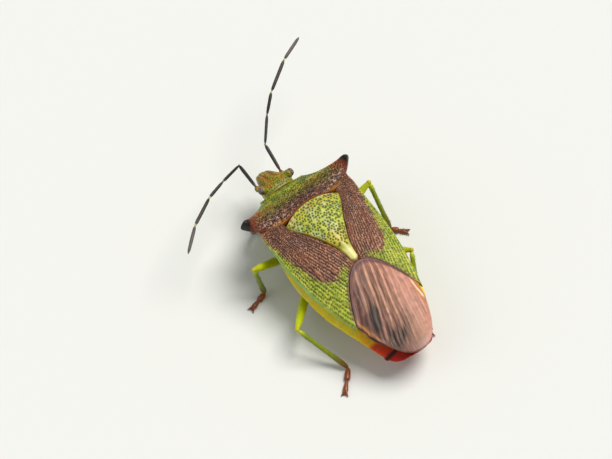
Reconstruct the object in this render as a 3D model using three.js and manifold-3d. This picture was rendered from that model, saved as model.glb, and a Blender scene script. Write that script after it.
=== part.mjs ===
// A shield bug of the hawthorn kind, life size, standing still on the floor.
// Millimetres, +Z up, the head towards -Y and the bug's own left side towards +X.
// The body is worked out about the middle of the scutellum's base, and the whole
// bug is then moved so that the origin is the middle of its footprint, on the floor.
import * as THREE from "three";
import Module from "manifold-3d";
import { mergeVertices } from "three/addons/utils/BufferGeometryUtils.js";

const wasm = await Module();
wasm.setup();

// Driving dimensions
const STANCE = 4.95; // height of the back above the floor, at the scutellum's base
const SEAM = 0.12; // gap between plates and limbs that touch
const RIM = 0.26; // thickness of the wings at their rims
const PLATE = 0.55; // thickness of the wing cases, scutellum and pronotum
const HEAD_FRONT = -5.05; // the head's tip, ahead of the scutellum's base
const HEAD_REAR = -3.16;
const PRONOTUM_FRONT = -2.8;
const PRONOTUM_REAR = -0.45;
const SHOULDER_Y = -1.6;
const SHOULDER_REACH = 4.15; // half the width from one shoulder point to the other
const SCUTELLUM_TIP = 4.35;
const SCUTELLUM_HALF = 2.08;
const WING_TIP = 10.74;
const MEMBRANE_HALF = 2.4;
const SUTURE_FRONT = 4.45; // where the two wing sutures meet, behind the scutellum
const SUTURE_SWEEP = 2.9; // how far each suture runs back on its way to the margin
const ABDOMEN_REAR = 9.85;
const LIMB_HALF = 0.25; // half the thickness of the feelers

// Tables of [y, value] along the body
const MIDLINE_Z = [
  [-3.2, -1.35], [-2.4, -0.8], [-1.6, -0.3], [-0.9, 0], [0, 0.04],
  [2, -0.12], [4.35, -0.55], [7, -1.3], [9.5, -2.02], [11.1, -2.5],
];
const MARGIN_Z = [
  [-3.2, -1.6], [-2.4, -1.2], [-1.9, -0.55], [-1.6, -0.1], [-1.2, -0.25], [-0.45, -0.6],
  [0.5, -0.84], [2, -1.2], [4, -1.52], [6, -1.76], [7.4, -1.85], [9.4, -2.25], [11.1, -2.55],
];
const MARGIN_X = [
  [-3.2, 1.45], [-2.75, 1.75], [-2.2, 2.65], [-1.85, 3.5], [-1.6, SHOULDER_REACH], [-1.2, 3.95],
  [-0.45, 3.5], [0.5, 3.46], [2, 3.48], [4, 3.32], [6, 2.88], [7.4, 2.42], [9.4, 1.85], [11.1, 0.9],
];
const BELLY_Z = [
  [-2.8, -3.0], [-1.6, -3.55], [0, -3.85], [3, -3.98], [6, -3.92], [8.5, -3.7], [10.6, -3.35],
];
const BODY_X = [
  [-2.8, 1.25], [-1.6, 2.1], [-0.6, 2.9], [1, 3.3], [3, 3.5], [5, 3.32],
  [7, 2.86], [8.6, 2.34], [9.8, 1.86], [10.2, 1.5], [10.5, 1],
];
const SCUTELLUM_X = [
  [-0.4, 2.1], [0.2, 2.02], [1.6, 1.24], [2.1, 0.97], [3.1, 0.5], [3.6, 0.36], [4.1, 0.3],
];

const mix = THREE.MathUtils.lerp;
const mirrored = (side) => (side === "left" ? 1 : -1);

// The value at t in a table of [t, value], on a curve that passes through every entry.
function along(table, t) {
  const last = table.length - 1;
  if (t <= table[0][0]) return table[0][1];
  if (t >= table[last][0]) return table[last][1];
  const i = table.findIndex((entry) => entry[0] > t) - 1;
  const slope = (k) => {
    if (k === 0 || k === last) return 0;
    const before = (table[k][1] - table[k - 1][1]) / (table[k][0] - table[k - 1][0]);
    const after = (table[k + 1][1] - table[k][1]) / (table[k + 1][0] - table[k][0]);
    return before * after > 0 ? (2 * before * after) / (before + after) : 0;
  };
  const span = table[i + 1][0] - table[i][0];
  const s = (t - table[i][0]) / span;
  const rise = table[i + 1][1] - table[i][1];
  return (
    table[i][1] +
    rise * s * s * (3 - 2 * s) +
    span * (slope(i) * s * (1 - s) * (1 - s) - slope(i + 1) * s * s * (1 - s))
  );
}

// Height of the back, and of the plates' underside, at a place on the body.
function backZ(x, y) {
  const reach = Math.abs(x) / along(MARGIN_X, y);
  return mix(along(MIDLINE_Z, y), along(MARGIN_Z, y), Math.pow(reach, 2.2));
}

// A closed body through rings of one length. Each ring runs along its upper side
// and back along its lower side, so the two ends close by strips between the sides.
function loft(rings) {
  const count = rings[0].length;
  const positions = rings.flat().flatMap((p) => [p.x, p.y, p.z]);
  const index = [];
  const quad = (a, b, c, d) => index.push(a, b, c, a, c, d);
  for (let r = 0; r + 1 < rings.length; r++) {
    for (let i = 0; i < count; i++) {
      const j = (i + 1) % count;
      quad(r * count + i, r * count + j, (r + 1) * count + j, (r + 1) * count + i);
    }
  }
  const end = (rings.length - 1) * count;
  for (let i = 0; i + 1 < count / 2; i++) {
    const k = count - 1 - i;
    quad(i, k, k - 1, i + 1);
    quad(end + i, end + i + 1, end + k - 1, end + k);
  }
  const geometry = new THREE.BufferGeometry();
  geometry.setAttribute("position", new THREE.Float32BufferAttribute(positions, 3));
  geometry.setIndex(index);
  return facingOut(geometry);
}

// The same geometry with its faces turned to point outwards.
function facingOut(geometry) {
  const p = geometry.getAttribute("position");
  const index = geometry.getIndex();
  const corner = [new THREE.Vector3(), new THREE.Vector3(), new THREE.Vector3()];
  let volume = 0;
  for (let i = 0; i < index.count; i += 3) {
    corner.forEach((c, k) => c.fromBufferAttribute(p, index.getX(i + k)));
    volume += corner[0].dot(corner[1].clone().cross(corner[2])) / 6;
  }
  if (volume < 0) {
    for (let i = 0; i < index.count; i += 3) {
      const second = index.getX(i + 1);
      index.setX(i + 1, index.getX(i + 2));
      index.setX(i + 2, second);
    }
  }
  return geometry;
}

// Joins closed geometries into one body.
function fused(geometries) {
  const solids = geometries.map((geometry) => {
    const bare = geometry.clone();
    bare.deleteAttribute("normal");
    bare.deleteAttribute("uv");
    const merged = facingOut(mergeVertices(bare, 1e-4));
    return new wasm.Manifold(
      new wasm.Mesh({
        numProp: 3,
        vertProperties: new Float32Array(merged.getAttribute("position").array),
        triVerts: new Uint32Array(merged.getIndex().array),
      }),
    );
  });
  const whole = solids.reduce((sum, solid) => sum.add(solid));
  const largest = whole.decompose().sort((a, b) => b.volume() - a.volume())[0];
  const mesh = largest.getMesh();
  const geometry = new THREE.BufferGeometry();
  geometry.setAttribute("position", new THREE.Float32BufferAttribute(mesh.vertProperties, 3));
  geometry.setIndex(new THREE.BufferAttribute(mesh.triVerts, 1));
  return geometry;
}

// A plate on the back. place(u, v) gives x and y for u across and v along, and
// relief(u, v) raises its upper face.
function plate(place, columns, rows, { relief = () => 0, thickness = () => PLATE } = {}) {
  const rings = [];
  for (let r = 0; r <= rows; r++) {
    const upper = [];
    const lower = [];
    for (let c = 0; c <= columns; c++) {
      const u = c / columns;
      const v = r / rows;
      const [x, y] = place(u, v);
      const z = backZ(x, y);
      upper.push(new THREE.Vector3(x, y, z + relief(u, v)));
      lower.unshift(new THREE.Vector3(x, y, z - thickness(u, v)));
    }
    rings.push([...upper, ...lower]);
  }
  return loft(rings);
}

const bug = new THREE.Group();
const coats = {
  olive: { color: 0x9aa43a, roughness: 0.45 },
  scutellum: { color: 0xb3b944, roughness: 0.45 },
  wingCase: { color: 0x8a5a45, roughness: 0.45 },
  membrane: { color: 0xa9745f, roughness: 0.3 },
  belly: { color: 0xc99a12, roughness: 0.4 },
  rear: { color: 0xb52a10, roughness: 0.35 },
  leg: { color: 0x8c9420, roughness: 0.4 },
  foot: { color: 0x7a4a22, roughness: 0.5 },
  feeler: { color: 0x2a241f, roughness: 0.5 },
  eye: { color: 0x3a2a2c, roughness: 0.2 },
};

function add(name, geometry, coat) {
  const material = new THREE.MeshStandardMaterial({ ...coats[coat], metalness: 0 });
  const mesh = new THREE.Mesh(geometry, material);
  mesh.name = name;
  bug.add(mesh);
}

// Pronotum: the shield behind the head, drawn out into two shoulder points
const PRONOTUM_EDGE = [
  [0, -2.98], [0.25, -2.5], [0.45, -2.08], [0.6, SHOULDER_Y - 0.1], [0.75, -1.35], [1, -0.72],
];
const PRONOTUM_X = [
  [-2.98, 1.6], [-2.6, 1.95], [-2.35, 2.5], [-2.15, 3.05], [-1.95, 3.62], [-1.78, 3.98],
  [SHOULDER_Y, SHOULDER_REACH], [-1.38, 3.98], [-1.1, 3.68], [-0.72, 3.3],
];

function pronotumPlace(u, v) {
  const across = 2 * u - 1;
  const edgeY = along(PRONOTUM_EDGE, v);
  const spread = Math.abs(across);
  const lobe = 0.34 * v * v * Math.sin(Math.PI * Math.min(1, spread / 1.15)) ** 2;
  const y = mix(mix(PRONOTUM_FRONT, PRONOTUM_REAR, v), edgeY, spread ** 2.4) + lobe;
  return [across * along(PRONOTUM_X, edgeY), y];
}

function pronotumThickness(u, v) {
  const spread = Math.abs(2 * u - 1);
  const edge = RIM + 0.18 * Math.exp(-(((v - 0.6) / 0.16) ** 2));
  return mix(PLATE, edge, spread ** 3);
}
add("pronotum", plate(pronotumPlace, 28, 16, { thickness: pronotumThickness }), "olive");

// Scutellum: the long triangle between the wing cases
function scutellumPlace(u, v) {
  const across = 2 * u - 1;
  const front = PRONOTUM_REAR + SEAM + 0.52 * across * across;
  const rear = SCUTELLUM_TIP - 0.2 * across * across;
  const y = mix(front, rear, v);
  return [across * (along(SCUTELLUM_X, y) - SEAM / 2), y];
}
const scutellumSwell = (u, v) => 0.14 * (1 - (2 * u - 1) ** 2) * (1 - v * 0.5);
add("scutellum", plate(scutellumPlace, 12, 14, { relief: scutellumSwell }), "scutellum");

// Wing cases: the leathery front part of each fore wing
const sutureY = (x) => SUTURE_FRONT + SUTURE_SWEEP * (x / MEMBRANE_HALF) ** 2;

function sutureGap(x) {
  const slope = (2 * SUTURE_SWEEP * x) / MEMBRANE_HALF ** 2;
  return SEAM * Math.hypot(1, slope);
}

function wingCasePlace(side) {
  return (u, v) => {
    const edges = (along01) => {
      const innerY = mix(0.24, SUTURE_FRONT - SEAM, along01);
      const outerY = mix(-0.4, sutureY(MEMBRANE_HALF) - SEAM * 2, along01);
      const inner = along(SCUTELLUM_X, innerY) + SEAM / 2 - 0.14 * along01 ** 6;
      return [mix(inner, along(MARGIN_X, outerY), u), mix(innerY, outerY, u)];
    };
    const [x, y] = edges(v);
    const [rearX, rearY] = edges(1);
    return [mirrored(side) * x, y + v ** 2 * (sutureY(rearX) - sutureGap(rearX) - rearY)];
  };
}

// A low keel runs along each case a third of the way in from its margin.
const caseKeel = (u, v) => 0.07 * Math.exp(-(((u - 0.62) / 0.1) ** 2)) * (1 - v);
for (const side of ["left", "right"]) {
  const geometry = plate(wingCasePlace(side), 10, 16, {
    relief: caseKeel,
    thickness: (u) => mix(PLATE, RIM, u ** 4),
  });
  add(`wing_case_${side}`, geometry, "wingCase");
}

// Right membrane: the clear end of the right wing, which lies over the left one
const VEIN_SPACING = 0.6;
const VEIN_DRIFT = [[4.5, -0.15], [5.2, 0], [6.4, 0.4], [7.5, 0.85], [8.7, 1.25], [10, 1.55]];
const rearY = (across) => WING_TIP - 2.46 * Math.abs(across) ** 2.4;

function membranePlace(u, v) {
  const across = 1 - 2 * u;
  const x = across * mix(MEMBRANE_HALF, MEMBRANE_HALF * 0.91, v);
  const front = sutureY(across * MEMBRANE_HALF);
  return [x, mix(front, rearY(across), v)];
}

// Each vein is a ridge that starts at the suture, drifts to the left as it runs back, and
// fades towards the wing's rim. A point's root is where the vein line through it starts.
function veinRoot(x, y) {
  let root = x;
  for (let i = 0; i < 4; i++) {
    root = x - along(VEIN_DRIFT, y + Math.min(0, root)) * (1 + 0.25 * root);
  }
  return root;
}

function veinRidge(u, v) {
  const [x, y] = membranePlace(u, v);
  const wave = 0.5 + 0.5 * Math.cos((2 * Math.PI * veinRoot(x, y)) / VEIN_SPACING);
  return 0.1 * wave ** 2 * Math.sin(Math.PI * Math.min(1, 0.15 + v)) ** 0.5;
}
const wingThickness = (u, v) => mix(0.5, RIM, Math.max(Math.abs(1 - 2 * u) ** 6, v ** 6));
add(
  "membrane_right",
  plate(membranePlace, 44, 22, { relief: veinRidge, thickness: wingThickness }),
  "membrane",
);

// Left membrane: the strip of it that shows past the rim of the right one
const STRIP_WIDTH = 0.18;
function stripPlace(u, v) {
  const y = mix(sutureY(MEMBRANE_HALF) + 0.2, 9.5, v);
  const rim = MEMBRANE_HALF - 0.03 - 0.55 * Math.max(0, (y - 8.3) / 1.3) ** 1.5;
  const width = STRIP_WIDTH * Math.sin(Math.PI * mix(0.25, 0.85, v)) ** 0.5;
  return [rim + SEAM + width * u, y];
}
add("membrane_left", plate(stripPlace, 2, 10, { thickness: () => 0.4 }), "membrane");

// Trunk: rings across the body under the plates
function trunkRing(y, halfWidth, topGap = PLATE + SEAM) {
  const upper = [];
  const lower = [];
  const steps = 12;
  const edgeZ = backZ(halfWidth, y) - topGap;
  for (let i = 0; i <= steps; i++) {
    const across = 1 - (2 * i) / steps;
    const x = across * halfWidth;
    upper.push(new THREE.Vector3(x, y, backZ(x, y) - topGap));
    lower.unshift(new THREE.Vector3(x, y, bellyZ(x, y, halfWidth, edgeZ)));
  }
  return [...upper, ...lower];
}

function bellyZ(x, y, halfWidth, edgeZ) {
  const spread = Math.abs(x) / halfWidth;
  return mix(along(BELLY_Z, y), edgeZ - 0.32, spread ** 2.2);
}

function trunk(front, rear, rows) {
  const rings = [];
  for (let r = 0; r <= rows; r++) {
    const y = mix(front, rear, r / rows);
    rings.push(trunkRing(y, along(BODY_X, y)));
  }
  return loft(rings);
}
add("prothorax", trunk(PRONOTUM_FRONT, -0.75, 6), "olive");
add("thorax", trunk(-0.75 + SEAM, 2.6, 8), "belly");
add("abdomen", trunk(2.6 + SEAM, ABDOMEN_REAR - SEAM, 18), "belly");
add("abdomen_tip", trunk(ABDOMEN_REAR, 10.5, 4), "rear");

// Rings across a limb, between two joints, whose ends lie in given planes
function limbRings(from, to, startNormal, endNormal, profile, floor = -Infinity) {
  const axis = to.clone().sub(from).normalize();
  const side = new THREE.Vector3(0, 0, 1).cross(axis).normalize();
  if (side.lengthSq() < 0.5) side.set(1, 0, 0);
  const up = axis.clone().cross(side);
  const sides = 10;
  return profile.map(([t, half, gap = 0], k) => {
    const centre = from.clone().lerp(to, t).addScaledVector(axis, gap);
    const last = k === profile.length - 1;
    const normal = k === 0 ? startNormal : last ? endNormal : axis;
    const ring = [];
    for (let i = 0; i < sides; i++) {
      const angle = (2 * Math.PI * (i + 0.5)) / sides;
      const p = centre
        .clone()
        .addScaledVector(side, half * Math.cos(angle))
        .addScaledVector(up, half * Math.sin(angle));
      const off = normal.dot(centre.clone().sub(p)) / normal.dot(axis);
      p.addScaledVector(axis, off);
      p.z = Math.max(p.z, floor);
      ring.push(p);
    }
    return ring;
  });
}

// Plane that halves the bend at each joint of a chain
function jointNormals(points) {
  return points.map((p, i) => {
    const before = i ? p.clone().sub(points[i - 1]).normalize() : null;
    const after = i + 1 < points.length ? points[i + 1].clone().sub(p).normalize() : null;
    if (!before) return after;
    if (!after) return before;
    return before.add(after).normalize();
  });
}

// A limb of named lengths, each a body of its own, with a seam at every joint
function limb(points, lengths, floor) {
  const normals = jointNormals(points);
  lengths.forEach(({ name, coat, profile, extras = () => [] }, i) => {
    const [from, to] = [points[i], points[i + 1]];
    const seamed = profile.map(([t, half], k) => {
      if (k === 0) return [t, half, SEAM / 2];
      return [t, half, k === profile.length - 1 ? -SEAM / 2 : 0];
    });
    const body = loft(limbRings(from, to, normals[i], normals[i + 1], seamed, floor));
    const more = extras(from, to);
    add(name, more.length ? fused([body, ...more]) : body, coat);
  });
}

// Direction at an angle out from straight ahead, raised by a pitch, for one side
function heading(side, outward, pitch) {
  const [a, b] = [outward, pitch].map(THREE.MathUtils.degToRad);
  return new THREE.Vector3(
    mirrored(side) * Math.sin(a) * Math.cos(b),
    -Math.cos(a) * Math.cos(b),
    Math.sin(b),
  );
}

// Feelers: five lengths each, with their own bends as in life
const FEELER_LENGTHS = [1.9, 1.93, 1.45, 2.3, 1.95];
const FEELER_ROOT = { x: 0.95, y: -4.2, z: -2.0 };
const FEELER_BENDS = {
  left: [[-5, 0], [110, 18], [108, 4], [120, 5], [129, -9]],
  right: [[7, 18], [42, 15], [49, 18], [59, 12], [67, 0]],
};
const feelerRoot = (side) =>
  new THREE.Vector3(mirrored(side) * FEELER_ROOT.x, FEELER_ROOT.y, FEELER_ROOT.z);

for (const side of ["left", "right"]) {
  const points = [feelerRoot(side)];
  FEELER_BENDS[side].forEach(([outward, pitch], i) => {
    const step = heading(side, outward, pitch).multiplyScalar(FEELER_LENGTHS[i]);
    points.push(points[i].clone().add(step));
  });
  const lengths = FEELER_LENGTHS.map((_, i) => ({
    name: `feeler_${side}_${i + 1}`,
    coat: "feeler",
    profile: [
      [0, LIMB_HALF * 0.9],
      [0.25, LIMB_HALF],
      [0.75, LIMB_HALF],
      [1, i === 4 ? LIMB_HALF * 0.5 : LIMB_HALF * 0.94],
    ],
  }));
  limb(points, lengths);
}

// Head: bent down, with a raised middle lobe between two grooves
const HEAD_X = [[-5.05, 0.2], [-4.9, 0.42], [-4.4, 0.64], [-3.85, 0.86], [-3.5, 1.03], [-3.1, 1.06]];
const HEAD_TOP = [[-5.05, -2.25], [-4.6, -1.85], [-3.9, -1.42], [-3.1, -1.15]];
const HEAD_UNDER = [[-5.05, -2.6], [-4.6, -2.8], [-3.9, -2.85], [-3.1, -2.75]];
const LOBE_HALF = 0.26;

function headRing(y) {
  const half = along(HEAD_X, y);
  const [top, under] = [along(HEAD_TOP, y), along(HEAD_UNDER, y)];
  const middle = mix(under, top, 0.55);
  const upper = [];
  const lower = [];
  const steps = 14;
  for (let i = 0; i <= steps; i++) {
    const across = Math.cos((Math.PI * (i + 0.5)) / (steps + 1));
    const x = across * half;
    const bulge = Math.sqrt(1 - across * across) ** 0.8;
    const groove = 0.09 * Math.exp(-(((Math.abs(x) - LOBE_HALF) / 0.07) ** 2));
    upper.push(new THREE.Vector3(x, y, mix(middle, top, bulge) - groove * bulge));
    lower.unshift(new THREE.Vector3(x, y, mix(middle, under, bulge)));
  }
  return [...upper, ...lower];
}

// The stub on the cheek that carries a feeler, aimed along its first length
function feelerStub(side) {
  const tip = feelerRoot(side);
  const [outward, pitch] = FEELER_BENDS[side][0];
  const aim = heading(side, outward, pitch);
  const elbow = tip.clone().addScaledVector(aim, -0.3);
  const root = new THREE.Vector3(mirrored(side) * 0.4, FEELER_ROOT.y + 0.42, -2.15);
  const inwards = elbow.clone().sub(root).normalize();
  const bend = inwards.clone().add(aim).normalize();
  const neck = limbRings(root, elbow, inwards, bend, [[0, 0.28], [1, 0.3]]);
  const mouth = limbRings(elbow, tip, bend, aim, [[0, 0.3], [1, 0.27, -SEAM / 2]]);
  return loft([neck[0], neck[1], mouth[1]]);
}

const headRings = Array.from({ length: 11 }, (_, i) => headRing(mix(HEAD_REAR, HEAD_FRONT, i / 10)));
add("head", fused([loft(headRings), feelerStub("left"), feelerStub("right")]), "olive");

// Eyes: domes set flat against the sides of the head
const EYE_RADIUS = 0.28;
const EYE_BULGE = 0.27;
const EYE_Y = -3.45;
const EYE_Z = -1.36;
for (const side of ["left", "right"]) {
  const dome = [new THREE.Vector2(0, 0)];
  for (let i = 0; i <= 6; i++) {
    const angle = (Math.PI / 2) * (i / 6);
    const radius = i === 6 ? 0 : EYE_RADIUS * Math.cos(angle);
    dome.push(new THREE.Vector2(radius, EYE_BULGE * Math.sin(angle)));
  }
  const geometry = new THREE.LatheGeometry(dome, 16);
  geometry.deleteAttribute("normal");
  geometry.deleteAttribute("uv");
  const eye = facingOut(mergeVertices(geometry, 1e-4));
  eye.rotateZ(-mirrored(side) * (Math.PI / 2));
  eye.translate(mirrored(side) * (0.95 + SEAM), EYE_Y, EYE_Z);
  add(`eye_${side}`, eye, "eye");
}

// Beak: folded back under the body between the legs
const BEAK_HALF = 0.25;
const BEAK_JOINTS = [-4.7, -3.2, -1.2, 1.2];
function beakPoint(y) {
  const roof = y < PRONOTUM_FRONT ? along(HEAD_UNDER, y) : along(BELLY_Z, y);
  return new THREE.Vector3(0, y, roof - BEAK_HALF - SEAM);
}
const beakPoints = BEAK_JOINTS.map(beakPoint);
const beakNormals = jointNormals(beakPoints);
const beakRings = beakPoints.slice(1).flatMap((to, i) => {
  const tip = i === beakPoints.length - 2;
  const rings = limbRings(beakPoints[i], to, beakNormals[i], beakNormals[i + 1], [
    [0, BEAK_HALF],
    [1, tip ? BEAK_HALF * 0.6 : BEAK_HALF],
  ]);
  return i ? rings.slice(1) : rings;
});
add("beak", loft(beakRings), "feeler");

// Legs: hip, knee, ankle and toe of each, about the scutellum's base
const SOLE_Z = -STANCE;
const ANKLE_Z = SOLE_Z + 0.2;
const TOE_Z = SOLE_Z + 0.11;
const LEGS = {
  fore_left: { hip: [0.95, -1.75], knee: [2.55, -2.75, -2.55], ankle: [2.05, -3.05], toe: [1.45, -3.75] },
  fore_right: { hip: [-0.95, -1.75], knee: [-2.6, -2.55, -2.6], ankle: [-2.3, -2.75], toe: [-1.7, -3.5] },
  mid_left: { hip: [1.35, -0.05], knee: [4.78, 0.47, -1.85], ankle: [4.2, 0.75], toe: [5.4, 1.1] },
  mid_right: { hip: [-1.35, -0.05], knee: [-4.82, -0.38, -2.4], ankle: [-4.7, 1.95], toe: [-5.35, 2.62] },
  hind_left: { hip: [1.5, 1.75], knee: [5.02, 4.95, -2.75], ankle: [3.52, 8.03], toe: [4.72, 9.2] },
  hind_right: { hip: [-1.5, 1.75], knee: [-3.95, 4.8, -2.85], ankle: [-2.35, 7.75], toe: [-1.9, 9.2] },
};

// Two claws at the end of a foot
function claws(from, to) {
  const ahead = to.clone().sub(from).setZ(0).normalize();
  const aside = new THREE.Vector3(-ahead.y, ahead.x, 0);
  return [-1, 1].map((sign) => {
    const root = to.clone().addScaledVector(ahead, -0.18).addScaledVector(aside, sign * 0.06);
    const tip = to.clone().addScaledVector(ahead, 0.24).addScaledVector(aside, sign * 0.2);
    root.z = SOLE_Z + 0.16;
    tip.z = SOLE_Z + 0.07;
    const line = tip.clone().sub(root).normalize();
    return loft(limbRings(root, tip, line, line, [[0, 0.11], [0.6, 0.09], [1, 0.04]], SOLE_Z));
  });
}

// The hip's stub hangs from the belly, with its upper face following the belly.
function hipStub(name, hip, elbow, bend) {
  const rings = limbRings(hip, elbow, new THREE.Vector3(0, 0, -1), bend, [[0, 0.42], [1, 0.3, -SEAM / 2]]);
  for (const p of rings[0]) {
    const half = along(BODY_X, p.y);
    p.z = bellyZ(p.x, p.y, half, backZ(half, p.y) - PLATE - SEAM) - SEAM;
  }
  add(name, loft(rings), "leg");
}

for (const [leg, { hip, knee, ankle, toe }] of Object.entries(LEGS)) {
  const half = along(BODY_X, hip[1]);
  const roof = bellyZ(hip[0], hip[1], half, backZ(half, hip[1]) - PLATE - SEAM);
  const top = new THREE.Vector3(hip[0], hip[1], roof - SEAM);
  const kneePoint = new THREE.Vector3(...knee);
  const outward = kneePoint.clone().sub(top).setZ(0).normalize();
  const elbow = top.clone().addScaledVector(outward, 0.22).add(new THREE.Vector3(0, 0, -0.42));
  const points = [
    elbow,
    kneePoint,
    new THREE.Vector3(...ankle, ANKLE_Z),
    new THREE.Vector3(...toe, TOE_Z),
  ];
  const bend = jointNormals([top, ...points])[1];
  hipStub(`hip_${leg}`, top, elbow, bend);
  const normalsFix = [
    { name: `femur_${leg}`, coat: "leg", profile: [[0, 0.25], [0.3, 0.31], [0.7, 0.31], [1, 0.26]] },
    { name: `shin_${leg}`, coat: "leg", profile: [[0, 0.25], [0.3, 0.24], [0.7, 0.24], [1, 0.25]] },
    {
      name: `foot_${leg}`,
      coat: "foot",
      profile: [[0, 0.24], [0.35, 0.26], [0.5, 0.2], [0.62, 0.24], [1, 0.2]],
      extras: claws,
    },
  ];
  limb(points, normalsFix, SOLE_Z);
}

// The origin goes to the middle of the footprint, on the floor.
bug.updateMatrixWorld(true);
const reach = new THREE.Box3().setFromObject(bug);
bug.position.set(-(reach.min.x + reach.max.x) / 2, -(reach.min.y + reach.max.y) / 2, STANCE);

export default bug;
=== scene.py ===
# %% [markdown]
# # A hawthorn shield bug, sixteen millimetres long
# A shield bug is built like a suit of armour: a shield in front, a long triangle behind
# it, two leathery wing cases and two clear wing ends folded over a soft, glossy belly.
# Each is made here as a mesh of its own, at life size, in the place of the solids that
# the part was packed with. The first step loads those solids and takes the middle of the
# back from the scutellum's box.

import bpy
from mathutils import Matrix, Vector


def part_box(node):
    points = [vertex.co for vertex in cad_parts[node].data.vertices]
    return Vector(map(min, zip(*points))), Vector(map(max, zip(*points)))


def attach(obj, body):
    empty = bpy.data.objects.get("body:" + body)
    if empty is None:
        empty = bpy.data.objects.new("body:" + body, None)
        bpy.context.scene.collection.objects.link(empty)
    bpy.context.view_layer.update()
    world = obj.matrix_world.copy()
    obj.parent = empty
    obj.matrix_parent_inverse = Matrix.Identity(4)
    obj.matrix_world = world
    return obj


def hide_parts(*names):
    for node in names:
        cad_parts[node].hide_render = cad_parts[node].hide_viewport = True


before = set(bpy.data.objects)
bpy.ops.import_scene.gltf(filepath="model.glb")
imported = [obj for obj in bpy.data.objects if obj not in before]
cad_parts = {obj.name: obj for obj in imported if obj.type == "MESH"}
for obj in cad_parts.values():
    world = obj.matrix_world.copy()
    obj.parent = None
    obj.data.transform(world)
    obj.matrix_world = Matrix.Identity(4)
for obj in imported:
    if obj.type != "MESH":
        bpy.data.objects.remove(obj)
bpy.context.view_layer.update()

import math
from functools import partial

import bpy
import numpy as np
from mathutils import Matrix, Vector, kdtree, noise

MM = 0.001
BACK_HEIGHT = 4.95
SCUTELLUM_TIP = 4.35
low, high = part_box("scutellum")
back_centre = np.array([(low.x + high.x) / 2 / MM, high.y / MM - SCUTELLUM_TIP, BACK_HEIGHT])
print("nodes", len(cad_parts), "middle of the back, mm", back_centre.round(3))

# %% [markdown]
# ## The camera
# The bug was seen from above and behind its left shoulder. Lengths are worked out in
# millimetres about the middle of the scutellum's base, so the camera is placed the same
# way: so many degrees round, so many up, a quarter of a metre off. A long lens keeps the
# picture as flat as a distant close-up, and short clip distances suit the small size.

# %% Work out where the camera stands
TURN, RISE = np.radians([38.523, 57.762])
CAMERA_DISTANCE = 250.0
PIXELS_PER_MM = 16.58976
PICTURE = (612, 459)
BACK_CENTRE_PIXEL = (311.149, 206.686)

outward = np.array([np.sin(TURN) * np.cos(RISE), np.cos(TURN) * np.cos(RISE), np.sin(RISE)])
rightward = np.cross([0, 0, 1], outward)
rightward /= np.linalg.norm(rightward)
upward = np.cross(outward, rightward)
aside = (PICTURE[0] / 2 - BACK_CENTRE_PIXEL[0]) / PIXELS_PER_MM
lift = (BACK_CENTRE_PIXEL[1] - PICTURE[1] / 2) / PIXELS_PER_MM
stand_at = back_centre + outward * CAMERA_DISTANCE + rightward * aside + upward * lift
print("the camera stands at, mm", stand_at.round(1))

# %% Place the camera at the photograph's viewing angle
SENSOR_WIDTH = 36
camera_data = bpy.data.cameras.new("camera")
camera_data.sensor_width = SENSOR_WIDTH
camera_data.lens = CAMERA_DISTANCE * SENSOR_WIDTH / (PICTURE[0] / PIXELS_PER_MM)
camera_data.clip_start = 0.01
camera_data.clip_end = 10
camera = bpy.data.objects.new("camera", camera_data)
bpy.context.scene.collection.objects.link(camera)
facing = Matrix((rightward, upward, outward)).transposed().to_4x4()
camera.matrix_world = Matrix.Translation(Vector(stand_at * MM)) @ facing
bpy.context.scene.camera = camera
bpy.context.scene.view_settings.view_transform = "Standard"
print("lens", round(camera_data.lens, 1), "mm")

# %% [markdown]
# ## Smooth tables
# Outlines such as a shoulder or a wing's rim are measured at a few places along the
# body. Straight lines between them would leave corners, and a plain spline can bulge
# past them, so this curve keeps to the measured places. Small helpers mix, mark and
# fade.

# %% A curve through a table of measured values
def along(table, t):
    places, values = np.array(list(table.items()), float).T
    steps = np.diff(values) / np.diff(places)
    slopes = np.zeros(len(places))
    same_way = steps[:-1] * steps[1:] > 0
    product = 2 * steps[:-1] * steps[1:]
    total = np.where(same_way, steps[:-1] + steps[1:], 1)
    slopes[1:-1] = np.where(same_way, product / total, 0)
    t = np.clip(t, places[0], places[-1])
    i = np.clip(np.searchsorted(places, t, side="right") - 1, 0, len(places) - 2)
    span = places[i + 1] - places[i]
    s = (t - places[i]) / span
    rise = (values[i + 1] - values[i]) * s * s * (3 - 2 * s)
    bend = slopes[i] * s * (1 - s) ** 2 - slopes[i + 1] * s * s * (1 - s)
    return values[i] + rise + span * bend


print("halfway along a test table:", along({0: 0, 1: 1, 2: 4}, 1.5).round(3))

# %% Mix two values, mark a place, fade from one place to another
def blend(a, b, t):
    return a + (b - a) * t


def bump(t, middle, half):
    return np.exp(-(((t - middle) / half) ** 2))


def ease(t, start, end):
    s = np.clip((t - start) / (end - start), 0, 1)
    return s * s * (3 - 2 * s)


def fade_out(t, start, end):
    return 1 - ease(t, start, end)


print("half faded:", fade_out(0.5, 0, 1), "on the mark:", bump(2, 2, 1))

# %% [markdown]
# ## The line of the back
# All the plates lie on one gently domed back, which falls to the tail and to both
# margins. With a curve for each plate, neighbours would meet in steps. One function for
# the height keeps them flush however they are cut.

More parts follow.
